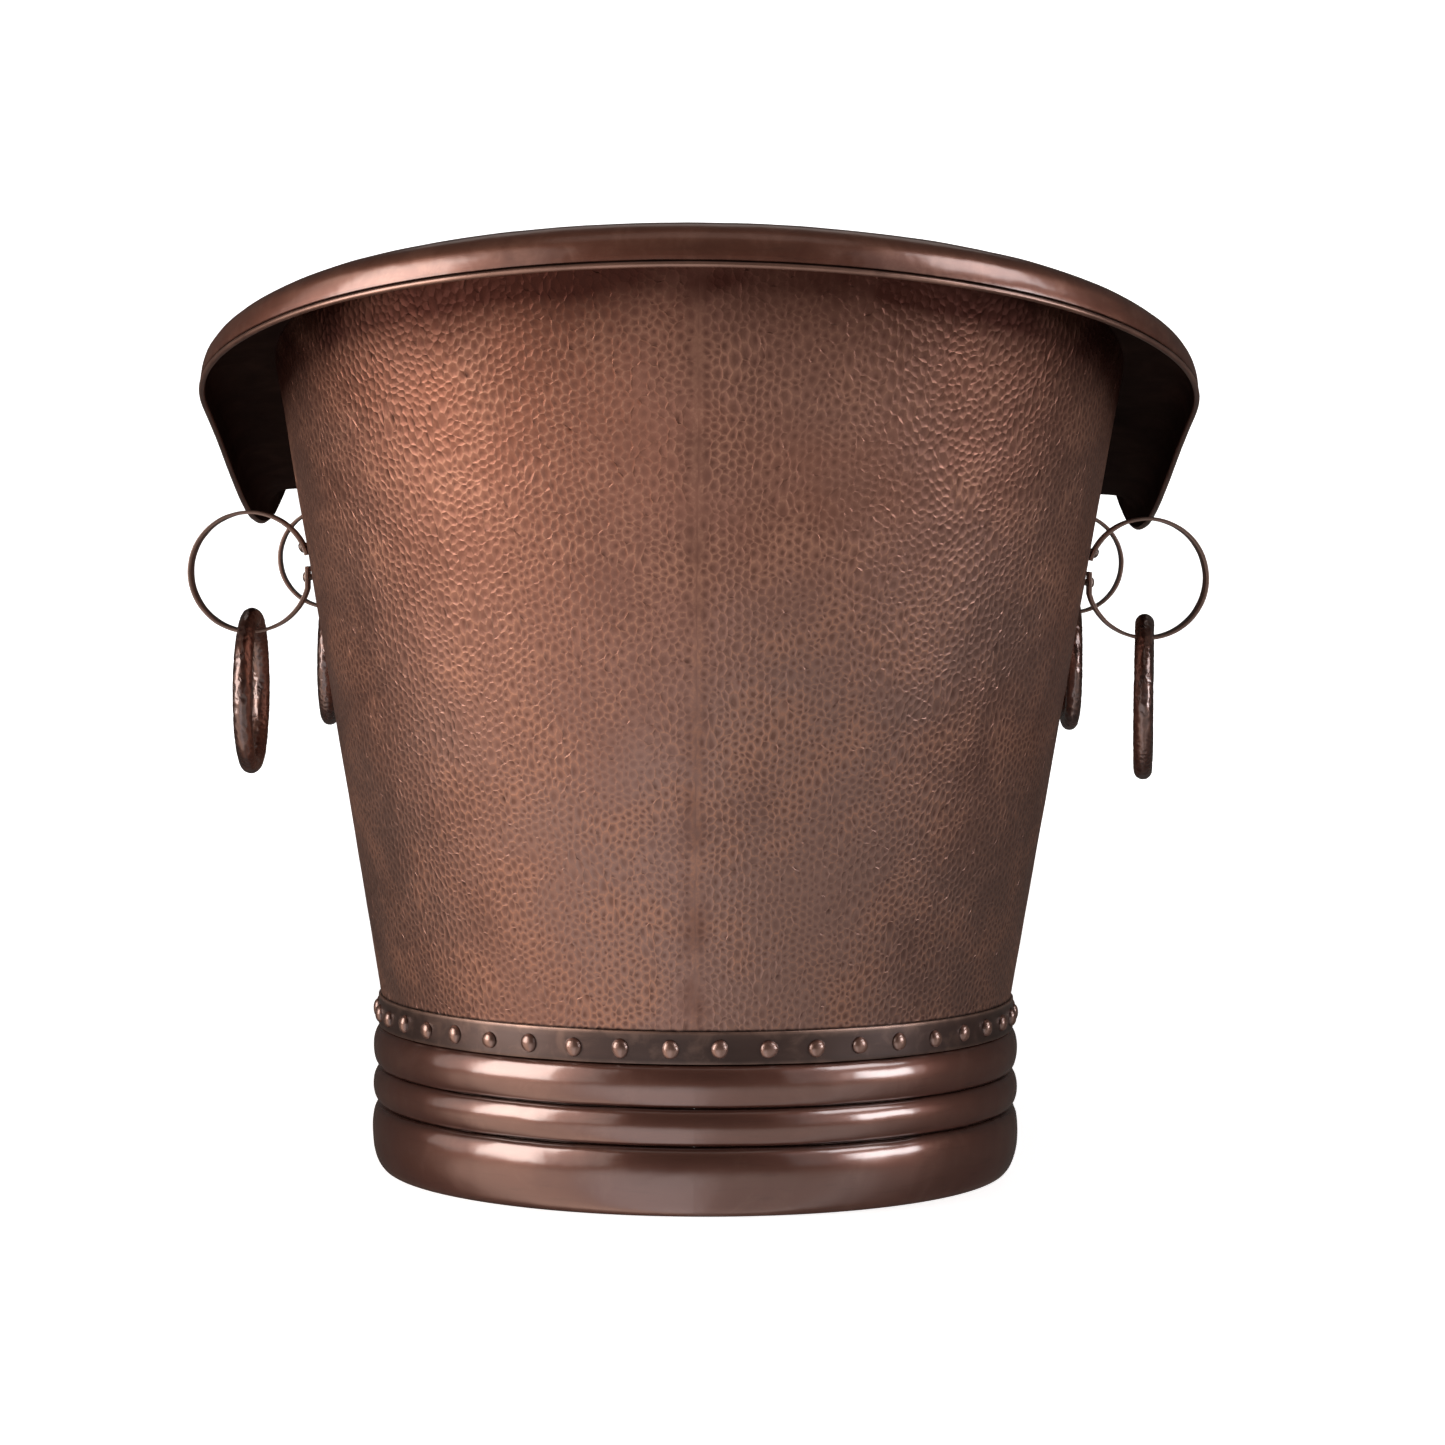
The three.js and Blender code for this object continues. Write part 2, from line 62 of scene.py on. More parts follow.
def edge_height(y):
    a = np.abs(np.asarray(y, float))
    i = np.clip(np.searchsorted(SHEER[:, 0], a, side="right") - 1, 0, len(_h) - 1)
    h = _h[i]
    t = np.minimum((a - SHEER[i, 0]) / h, 1.0)
    t2, t3 = t * t, t * t * t
    return ((2 * t3 - 3 * t2 + 1) * SHEER[i, 1] + (t3 - 2 * t2 + t) * h * _m[i]
            + (-2 * t3 + 3 * t2) * SHEER[i + 1, 1] + (t3 - t2) * h * _m[i + 1])


class Stations:
    """Places round the right-hand half of the tub: x = r c, y = k y0 + r s."""

    def __init__(self, arc, side):
        ph = np.radians(np.linspace(-90, 0, arc + 1))
        pf = np.radians(np.linspace(0, 90, arc + 1))
        a = np.linspace(-1, 1, side + 1)[1:-1]
        self.c = np.concatenate([np.cos(ph), np.ones_like(a), np.cos(pf)])
        self.s = np.concatenate([np.sin(ph), np.zeros_like(a), np.sin(pf)])
        self.k = np.concatenate([-np.ones_like(ph), a, np.ones_like(pf)])
        self.c[0] = self.c[-1] = 0.0
        self.n = len(self.c)

    def plan(self, y0, r):
        return r * self.c, self.k * y0 + r * self.s

    def level(self):
        return edge_height(self.k * TOP_Y0 + (TOP_R + RIM_OVERHANG) * self.s) + RIM_DEPTH


def station_at(L0, L1, t):
    """(c, s, k) at fraction t of a half loop whose corner points sit at L0 and L1."""
    t = np.asarray(t, float)
    c, s, k = np.ones_like(t), np.zeros_like(t), np.zeros_like(t)
    near, far = t < L0, t > L1
    a = -np.pi / 2 + np.pi / 2 * t[near] / L0
    c[near], s[near], k[near] = np.cos(a), np.sin(a), -1
    a = np.pi / 2 * (t[far] - L1) / (1 - L1)
    c[far], s[far], k[far] = np.cos(a), np.sin(a), 1
    mid = ~(near | far)
    k[mid] = -1 + 2 * (t[mid] - L0) / (L1 - L0)
    return c, s, k


# ------------------------------------------------------------------ mesh tools
def mesh_object(name, co, faces, attrs=None, smooth=None, recalc=True, weld=0.0):
    """co in millimetres; faces a list of arrays (n, 3) or (n, 4)."""
    me = bpy.data.meshes.new(name)
    co = np.asarray(co, float) * MM
    sizes = np.concatenate([np.full(len(f), f.shape[1]) for f in faces])
    loops = np.concatenate([f.ravel() for f in faces]).astype(np.int32)
    me.vertices.add(len(co))
    me.vertices.foreach_set("co", co.ravel())
    me.loops.add(len(loops))
    me.loops.foreach_set("vertex_index", loops)
    me.polygons.add(len(sizes))
    starts = np.concatenate([[0], np.cumsum(sizes)[:-1]]).astype(np.int32)
    me.polygons.foreach_set("loop_start", starts)
    me.update(calc_edges=True)
    for key, val in (attrs or {}).items():
        me.attributes.new(key, "FLOAT", "POINT").data.foreach_set("value", np.asarray(val, np.float32))
    if recalc or weld:
        bm = bmesh.new()
        bm.from_mesh(me)
        if weld:
            bmesh.ops.remove_doubles(bm, verts=bm.verts, dist=weld * MM)
        bmesh.ops.recalc_face_normals(bm, faces=bm.faces)
        bm.to_mesh(me)
        bm.free()
    me.polygons.foreach_set("use_smooth", np.ones(len(me.polygons), bool))
    if smooth:
        me.set_sharp_from_angle(angle=math.radians(smooth))
    me.validate()
    ob = bpy.data.objects.new(name, me)
    bpy.context.scene.collection.objects.link(ob)
    return ob


def finish_piece(ob, mat, body, nodes):
    ob.data.materials.append(mat)
    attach(ob, body)
    if nodes:
        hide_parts(*nodes)
    return ob


def grid_faces(n, m, wrap_n, wrap_m):
    i = np.arange(n if wrap_n else n - 1)
    j = np.arange(m if wrap_m else m - 1)
    I, J = np.meshgrid(i, j, indexing="ij")
    I2, J2 = (I + 1) % n, (J + 1) % m
    return np.stack([I * m + J, I2 * m + J, I2 * m + J2, I * m + J2], -1).reshape(-1, 4)


def smooth_profile(pts, step):
    """Catmull-Rom through a closed list of (offset, height), resampled to about step apart."""
    p = np.array(pts, float)
    out = []
    n = len(p)
    for i in range(n):
        a, b, c, d = p[i - 1], p[i], p[(i + 1) % n], p[(i + 2) % n]
        m = max(1, int(round(np.hypot(*(c - b)) / step)))
        for q in range(m):
            t = q / m
            out.append(0.5 * ((2 * b) + (-a + c) * t + (2 * a - 5 * b + 4 * c - d) * t * t
                              + (-a + 3 * b - 3 * c + d) * t ** 3))
    return np.array(out)


def open_profile(pts, step):
    """Catmull-Rom through an open list, both ends kept."""
    p = np.array([pts[0], *pts, pts[-1]], float)
    out = []
    for i in range(1, len(p) - 2):
        a, b, c, d = p[i - 1], p[i], p[i + 1], p[i + 2]
        m = max(1, int(round(np.hypot(*(c - b)) / step)))
        for q in range(m):
            t = q / m
            out.append(0.5 * ((2 * b) + (-a + c) * t + (2 * a - 5 * b + 4 * c - d) * t * t
                              + (-a + 3 * b - 3 * c + d) * t ** 3))
    out.append(p[-2])
    return np.array(out)


def wave(co, size, amount, seed, octaves=2):
    """Smooth random field at each point, for planishing marks, in the same unit as amount."""
    off = Vector((seed * 13.1, seed * 7.7, seed * 3.3))
    out = np.empty(len(co))
    inv = 1.0 / size
    for i, (x, y, z) in enumerate(co.tolist()):
        p = Vector((x * inv, y * inv, z * inv)) + off
        v = noise.noise(p)
        if octaves > 1:
            v += 0.4 * noise.noise(p * 2.3)
        out[i] = v
    return out * amount


def cell_tree(points):
    t = kdtree.KDTree(len(points))
    for i, p in enumerate(points.tolist()):
        t.insert(p, i)
    t.balance()
    return t


def dimples(co, tree, size):
    """0 in the middle of the nearest hammer mark, 1 on the ridge between two marks."""
    out = np.empty(len(co))
    tone = np.empty(len(co))
    for i, p in enumerate(co.tolist()):
        near = tree.find_n(p, 2)
        d1, d2 = near[0][2], near[1][2]
        out[i] = min(1.0, 2 * d1 / (d1 + d2 + 1e-9))
        tone[i] = (near[0][1] * 0.61803) % 1.0
    return out, tone


def half_sweep(name, st, profile, y0, r, level=None, relief=None, extra=None, smooth=35, seam=-0.02):
    """A sheet piece with a closed section, on the +X side; the end seams are left open for cap_and_build to cap."""
    n, m = st.n, len(profile)
    co = np.empty((n, m, 3))
    for j, (o, h) in enumerate(profile):
        x, y = st.plan(y0, r + o)
        co[:, j, 0], co[:, j, 1] = x, y
        co[:, j, 2] = h + (level if level is not None else 0.0)
    nx, ny = st.c[:, None], st.s[:, None]
    if relief is not None:
        # push each section point along the section's own outward direction
        p = np.array(profile)
        t = np.roll(p, -1, 0) - np.roll(p, 1, 0)
        t /= np.maximum(np.hypot(t[:, 0], t[:, 1]), 1e-9)[:, None]
        area = 0.5 * np.sum(p[:, 0] * np.roll(p[:, 1], -1) - np.roll(p[:, 0], -1) * p[:, 1])
        no, nh = (t[:, 1], -t[:, 0]) if area > 0 else (-t[:, 1], t[:, 0])
        amount = relief(co.reshape(-1, 3)).reshape(n, m)
        co[:, :, 0] += nx * no[None, :] * amount
        co[:, :, 1] += ny * no[None, :] * amount
        co[:, :, 2] += nh[None, :] * amount
    co[0, :, 0] = co[-1, :, 0] = seam
    flat = co.reshape(-1, 3)
    quads = grid_faces(n, m, False, True)
    # caps: a fan of quads across the sheet is not safe on a curved section, so cap_and_build fills each end with an
    # n-gon
    attrs = {k: np.repeat(np.asarray(v)[None, :], n, 0).ravel() for k, v in (extra or {}).items()}
    return flat, quads, attrs, m


def cap_and_build(name, parts, smooth=35):
    """Builds one object from each (verts, quads, attrs, m, suffix) of the two halves' pieces; caps each end with an
    n-gon.
    """
    objs = []
    for co, quads, attrs, m, suffix in parts:
        me = bpy.data.meshes.new(name + suffix)
        n = len(co) // m
        faces = [tuple(f) for f in quads.tolist()]
        faces.append(tuple(range(m)))
        faces.append(tuple(range((n - 1) * m, n * m)))
        me.from_pydata((co * MM).tolist(), [], faces)
        for k, v in attrs.items():
            me.attributes.new(k, "FLOAT", "POINT").data.foreach_set("value", np.asarray(v, np.float32))
        bm = bmesh.new()
        bm.from_mesh(me)
        bmesh.ops.recalc_face_normals(bm, faces=bm.faces)
        bm.to_mesh(me)
        bm.free()
        me.polygons.foreach_set("use_smooth", np.ones(len(me.polygons), bool))
        me.set_sharp_from_angle(angle=math.radians(smooth))
        ob = bpy.data.objects.new(name + suffix, me)
        bpy.context.scene.collection.objects.link(ob)
        objs.append(ob)
    return objs


# ------------------------------------------------------------------- materials
def new_mat(name):
    m = bpy.data.materials.new(name)
    m.use_nodes = True
    nt = m.node_tree
    nt.nodes.clear()
    out = nt.nodes.new("ShaderNodeOutputMaterial")
    b = nt.nodes.new("ShaderNodeBsdfPrincipled")
    nt.links.new(b.outputs[0], out.inputs[0])
    return m, nt, b


class N:
    """Short hand for building a node tree."""

    def __init__(self, nt):
        self.nt = nt

    def node(self, kind, **kw):
        n = self.nt.nodes.new(kind)
        for k, v in kw.items():
            setattr(n, k, v)
        return n

    def link(self, a, b):
        self.nt.links.new(a, b)

    def put(self, sock, v):
        if isinstance(v, bpy.types.NodeSocket):
            self.link(v, sock)
        else:
            sock.default_value = v

    def math(self, op, a, b=0.0, c=0.0, clamp=False):
        n = self.node("ShaderNodeMath", operation=op, use_clamp=clamp)
        for s, v in zip(n.inputs, (a, b, c)):
            self.put(s, v)
        return n.outputs[0]

    def mix(self, f, a, b, blend="MIX"):
        n = self.node("ShaderNodeMix", data_type="RGBA", blend_type=blend)
        self.put(n.inputs[0], f)
        for s, v in ((n.inputs[6], a), (n.inputs[7], b)):
            self.put(s, v if isinstance(v, bpy.types.NodeSocket) else (*v, 1.0))
        return n.outputs[2]

    def ramp(self, v, lo, hi, a=0.0, b=1.0):
        n = self.node("ShaderNodeMapRange", interpolation_type="SMOOTHSTEP")
        self.put(n.inputs[0], v)
        for s, x in zip(n.inputs[1:5], (lo, hi, a, b)):
            self.put(s, x)
        return n.outputs[0]

    def coords(self, scale=(1, 1, 1)):
        tc = self.node("ShaderNodeTexCoord")
        mp = self.node("ShaderNodeMapping")
        self.link(tc.outputs["Object"], mp.inputs[0])
        mp.inputs["Scale"].default_value = scale
        return mp.outputs[0]

    def noise(self, vec, scale, detail=3.0, rough=0.55, dist=0.0):
        n = self.node("ShaderNodeTexNoise")
        self.link(vec, n.inputs["Vector"])
        n.inputs["Scale"].default_value = scale
        n.inputs["Detail"].default_value = detail
        n.inputs["Roughness"].default_value = rough
        n.inputs["Distortion"].default_value = dist
        return n.outputs["Fac"]

    def attr(self, name):
        n = self.node("ShaderNodeAttribute", attribute_name=name)
        return n.outputs["Fac"]

    def bump(self, height, dist, strength=1.0, normal=None):
        n = self.node("ShaderNodeBump")
        n.inputs["Strength"].default_value = strength
        n.inputs["Distance"].default_value = dist
        self.link(height, n.inputs["Height"])
        if normal is not None:
            self.link(normal, n.inputs["Normal"])
        return n.outputs[0]


def hammered_copper(name, pit, mid, ridge, rough, depth, coat_rough, patch=(4.0, 15.0), seam=False, band_shadow_line=False,
                    weld=False, metallic=0.8, coat=1.0, coat_ior=1.6, wall=False):
    """Waxed antique copper with hammer marks: pits keep the dark patina, ridges are rubbed lighter."""
    m, nt, b = new_mat(name)
    g = N(nt)
    v = g.coords()
    a = g.attr("dimple")
    tone = g.attr("tone")
    big = g.noise(v, patch[0], 3, 0.5, 0.3)
    med = g.noise(v, patch[1], 3, 0.55, 0.4)
    fine = g.noise(v, 380.0, 3, 0.6)
    # slow drift of the patina: reddish to grey brown; on the wall also greyer towards the foot, a painted reflection of
    # the pale floor
    grey = (mid[0] * 0.98, mid[1] * 1.40, mid[2] * 1.80)
    drift = g.ramp(big, 0.36, 0.66)
    if wall:
        zs = g.node("ShaderNodeSeparateXYZ")
        g.link(v, zs.inputs[0])
        # painted reflection: the lower wall drifts to the grey tone, standing in for the pale floor seen in the coat
        painted_floor_sheen = g.ramp(zs.outputs["Z"], 0.26, 0.78, 0.80, -0.12)
        drift = g.math("ADD", g.math("MULTIPLY", drift, 0.45), painted_floor_sheen, clamp=True)
    col = g.mix(drift, mid, grey)
    col = g.mix(g.math("MULTIPLY", g.ramp(med, 0.46, 0.70), 0.30), col, ridge)
    col = g.mix(g.math("MULTIPLY", g.ramp(g.noise(v, patch[1] * 0.6, 2, 0.5), 0.50, 0.72), 0.25), col, pit)
    # every mark has its own tone, dark disc in the middle, rubbed net between marks
    disc = g.ramp(g.math("ADD", a, g.math("MULTIPLY", g.math("SUBTRACT", tone, 0.5), 0.35)), 0.20, 0.72, 1.0, 0.0)
    disc = g.math("MULTIPLY", disc, g.ramp(g.math("ADD", med, g.math("MULTIPLY", tone, 0.4)), 0.45, 0.95, 0.28, 0.72))
    col = g.mix(disc, col, pit)
    net = g.math("MULTIPLY", g.ramp(a, 0.68, 1.0), g.ramp(g.math("ADD", fine, g.math("MULTIPLY", med, 0.8)), 0.70, 1.12, 0.12, 0.85))
    col = g.mix(net, col, ridge)
    if seam:
        sm = g.attr("seam")
        sm = g.math("MULTIPLY", sm, g.ramp(g.noise(v, 26.0, 3, 0.6, 0.4), 0.34, 0.66, 0.12, 0.55))
        col = g.mix(sm, col, pit)
    if wall:
        # painted shade: darkening just under the rim, broken up by noise, standing in for the rim's shadow
        rim_shade = g.attr("under")
        rim_shade = g.math("MULTIPLY", rim_shade, g.ramp(g.noise(v, 9.0, 3, 0.55, 0.3), 0.30, 0.70, 0.80, 1.12), clamp=True)
        col = g.mix(rim_shade, col, (0.050, 0.013, 0.008))
    if band_shadow_line:
        # painted shadow: a dark line on the wall just above the band's top edge, the shade in the gap there
        sp = g.node("ShaderNodeSeparateXYZ")
        g.link(v, sp.inputs[0])
        line = g.ramp(sp.outputs["Z"], 0.1516, 0.1540, 1.0, 0.0)
        col = g.mix(g.math("MULTIPLY", line, 0.9), col, (0.012, 0.006, 0.005))
    h = g.math("MULTIPLY", g.math("POWER", a, 1.8), g.attr("amp"))
    if weld:
        sp = g.node("ShaderNodeSeparateXYZ")
        g.link(v, sp.inputs[0])
        up = g.math("MULTIPLY", g.ramp(g.math("ABSOLUTE", sp.outputs["Y"]), 0.0012, 0.0032, 1.0, 0.0),
                    g.ramp(sp.outputs["Z"], 0.188, 0.190))
        lowr = g.ramp(g.math("ABSOLUTE", g.math("SUBTRACT", sp.outputs["Z"], 0.190)), 0.0010, 0.0028, 1.0, 0.0)
        line = g.math("MAXIMUM", up, lowr)
        col = g.mix(g.math("MULTIPLY", line, 0.65), col, pit)
        h = g.math("ADD", h, g.math("MULTIPLY", line, 1.4))
    b.inputs["Metallic"].default_value = metallic
    g.link(col, b.inputs["Base Color"])
    r = g.ramp(med, 0.3, 0.75, rough - 0.04, rough + 0.07)
    r = g.math("ADD", r, g.math("MULTIPLY", fine, 0.06))
    g.link(r, b.inputs["Roughness"])
    if wall:
        # painted shade: less coat where the rim's shadow is painted, so it gives little sheen there
        g.link(g.math("MULTIPLY", g.math("SUBTRACT", 1.0, g.math("MULTIPLY", rim_shade, 0.8)), coat), b.inputs["Coat Weight"])
    else:
        b.inputs["Coat Weight"].default_value = coat
    b.inputs["Coat Roughness"].default_value = coat_rough
    b.inputs["Coat IOR"].default_value = coat_ior
    n1 = g.bump(h, depth)
    n2 = g.bump(fine, 0.00005, 0.5, n1)
    g.link(n2, b.inputs["Normal"])
    g.link(n2, b.inputs["Coat Normal"])
    return m


def smooth_copper(name, dark, mid, light, rough, patch=(5.0, 22.0), worn=0.7, dirt_and_shade=0.85, coat=1.0, coat_rough=0.14,
                  coat_ior=1.8, metallic=0.85, ripple=0.0008, grain=0.5):
    """Polished, waxed antique copper: dark patina left in the grooves, rubbed bright along the crests; on the rim the
    dark channel also carries painted shade.
    """
    m, nt, b = new_mat(name)
    g = N(nt)
    v = g.coords()
    big = g.noise(v, patch[0], 3, 0.5, 0.3)
    med = g.noise(v, patch[1], 4, 0.6, 0.6)
    streak = g.noise(g.coords((1.0, 1.0, 9.0)), 30.0, 3, 0.6, 0.2)
    fine = g.noise(v, 600.0, 3, 0.6)
    col = g.mix(g.ramp(big, 0.38, 0.66), tuple(0.75 * m_ + 0.25 * d_ for m_, d_ in zip(mid, dark)), mid)
    col = g.mix(g.math("MULTIPLY", g.ramp(med, 0.48, 0.75), 0.28), col, light)
    col = g.mix(g.math("MULTIPLY", g.ramp(streak, 0.52, 0.8), 0.30), col, dark)
    wear = g.math("MULTIPLY", g.attr("wear"), g.ramp(med, 0.25, 0.6, 0.45, 1.0))
    col = g.mix(g.math("MULTIPLY", wear, worn), col, light)
    # the dark channel: patina in grooves, and painted shade where a piece sets it so, as on the rim's groove and
    # underside
    grime_and_shade = g.math("MULTIPLY", g.attr("grime_and_shade"), g.ramp(med, 0.2, 0.7, 1.0, 0.7))
    col = g.mix(g.math("MULTIPLY", grime_and_shade, dirt_and_shade), col, (dark[0] * 0.22, dark[1] * 0.20, dark[2] * 0.20))
    b.inputs["Metallic"].default_value = metallic
    g.link(col, b.inputs["Base Color"])
    r = g.ramp(big, 0.3, 0.75, rough - 0.03, rough + 0.05)
    r = g.math("ADD", r, g.math("MULTIPLY", grime_and_shade, 0.2))
    r = g.math("ADD", r, g.math("MULTIPLY", fine, 0.05 * grain * 2))
    g.link(r, b.inputs["Roughness"])
    b.inputs["Coat Weight"].default_value = coat
    b.inputs["Coat Roughness"].default_value = coat_rough
    b.inputs["Coat IOR"].default_value = coat_ior
    n1 = g.bump(g.noise(v, 34.0, 2, 0.5), ripple, 0.5)
    n2 = g.bump(fine, 0.00004, grain, n1)
    g.link(n2, b.inputs["Normal"])
    g.link(n2, b.inputs["Coat Normal"])
    return m


def plain_metal(name, col, rough, scale=60.0):
    m, nt, b = new_mat(name)
    g = N(nt)
    v = g.coords()
    f = g.noise(v, scale, 4, 0.6, 0.3)
    c = g.mix(g.ramp(f, 0.35, 0.7), tuple(x * 0.72 for x in col), col)
    g.link(c, b.inputs["Base Color"])
    b.inputs["Metallic"].default_value = 1.0
    g.link(g.ramp(f, 0.3, 0.7, rough - 0.08, rough + 0.08), b.inputs["Roughness"])
    g.link(g.bump(g.noise(v, 500, 2, 0.5), 0.00008, 0.5), b.inputs["Normal"])
    return m


def rubber(name):
    m, nt, b = new_mat(name)
    g = N(nt)
    f = g.noise(g.coords(), 300.0, 3, 0.6)
    g.link(g.mix(f, (0.012, 0.012, 0.012), (0.03, 0.03, 0.03)), b.inputs["Base Color"])
    b.inputs["Roughness"].default_value = 0.8
    g.link(g.bump(f, 0.0001, 0.5), b.inputs["Normal"])
    return m


M_WALL = hammered_copper("hammered_copper_wall", (0.140, 0.053, 0.036), (0.345, 0.138, 0.087), (0.53, 0.262, 0.174),
                         0.39, 0.00034, 0.38, seam=True, band_shadow_line=True, wall=True, coat=0.36, coat_ior=1.5,
                         metallic=0.93)
M_BASIN = hammered_copper("planished_copper_basin", (0.225, 0.094, 0.061), (0.30, 0.126, 0.082), (0.40, 0.190, 0.125),
                          0.34, 0.00030, 0.26, weld=True, coat=0.6)
M_RIM = smooth_copper("polished_copper_rim", (0.07, 0.021, 0.013), (0.185, 0.056, 0.032), (0.40, 0.185, 0.125), 0.36,
                      patch=(6.0, 42.0), coat_rough=0.20, coat_ior=1.85, coat=0.9, ripple=0.0014)
M_MOULD = smooth_copper("polished_copper_foot", (0.080, 0.027, 0.019), (0.195, 0.068, 0.045), (0.34, 0.165, 0.120), 0.33,
                        coat_rough=0.16, coat_ior=2.1, grain=0.15)
M_BAND = smooth_copper("dark_copper_band", (0.042, 0.019, 0.014), (0.088, 0.042, 0.032), (0.40, 0.23, 0.17), 0.36,
                       patch=(9.0, 45.0), worn=0.95, coat_rough=0.32, coat_ior=1.55)
M_BEAD = smooth_copper("dark_copper_bead", (0.07, 0.028, 0.020), (0.15, 0.064, 0.044), (0.44, 0.23, 0.165), 0.32,
                       coat_rough=0.25, coat_ior=1.6)
M_RIVET = smooth_copper("copper_rivets", (0.10, 0.045, 0.034), (0.21, 0.098, 0.073), (0.40, 0.22, 0.165), 0.30,
                        coat_rough=0.2)
M_STRAP = smooth_copper("dark_copper_strap", (0.085, 0.052, 0.040), (0.155, 0.096, 0.074), (0.34, 0.20, 0.155), 0.36,
                        coat_rough=0.3, coat_ior=1.6)
M_RING = hammered_copper("hammered_copper_ring", (0.090, 0.032, 0.022), (0.125, 0.046, 0.031), (0.22, 0.098, 0.068),
                         0.28, 0.00020, 0.15, patch=(14.0, 55.0), coat_ior=1.9, metallic=0.9)
M_DRAIN = smooth_copper("oil_rubbed_brass", (0.12, 0.065, 0.036), (0.24, 0.14, 0.08), (0.42, 0.28, 0.18), 0.28,
                        patch=(20.0, 70.0))
# painted shade: near-black matte copper for the rim's groove and underside, put where the overhang keeps the light off
M_UNDERSIDE_SHADE = smooth_copper("underside_painted_shade", (0.030, 0.014, 0.011), (0.055, 0.025, 0.018), (0.12, 0.055, 0.04), 0.62,
                        coat=0.0, metallic=0.9)
M_STEEL = plain_metal("dull_steel", (0.34, 0.35, 0.36), 0.45)
M_RUBBER = rubber("black_rubber")

# ------------------------------------------------------------------ outer wall
SPACING = 7.3


def zipper(a, b, co):
    """Triangles between two rows of vertex indices, always taking the shorter diagonal."""
    i = j = 0
    out = []
    pa, pb = co[a], co[b]
    while i < len(a) - 1 or j < len(b) - 1:
        if i == len(a) - 1:
            step_a = False
        elif j == len(b) - 1:
            step_a = True
        else:
            da = pa[i + 1] - pb[j]
            db = pb[j + 1] - pa[i]
            step_a = da @ da < db @ db
        if step_a:
            out.append((a[i], a[i + 1], b[j]))
            i += 1
        else:
            out.append((a[i], b[j + 1], b[j]))
            j += 1
    return out


def wall_point(t, s, inset=0.0):
    """Point of the wall's outer face at half-loop fraction t and height fraction s in 0..1."""
    t = np.asarray(t, float)
    c, sn, k = station_at(WL0, 1 - WL0, t)
    top = edge_height(k * TOP_Y0 + (TOP_R + RIM_OVERHANG) * sn) + RIM_DEPTH - 0.9
    bx, by = (BASE_R - inset) * c, k * BASE_Y0 + (BASE_R - inset) * sn
    tx, ty = (TOP_R - inset) * c, k * TOP_Y0 + (TOP_R - inset) * sn
    z = WALL_BOTTOM + s * (top - WALL_BOTTOM)
    f = np.clip((z - WALL_COLLAR) / (top - WALL_COLLAR), 0, 1)
    return np.stack([bx + f * (tx - bx), by + f * (ty - by), z], -1)


_arc = math.pi / 2 * (BASE_R + TOP_R) / 2
_str = BASE_Y0 + TOP_Y0
WL0 = _arc / (2 * _arc + _str)


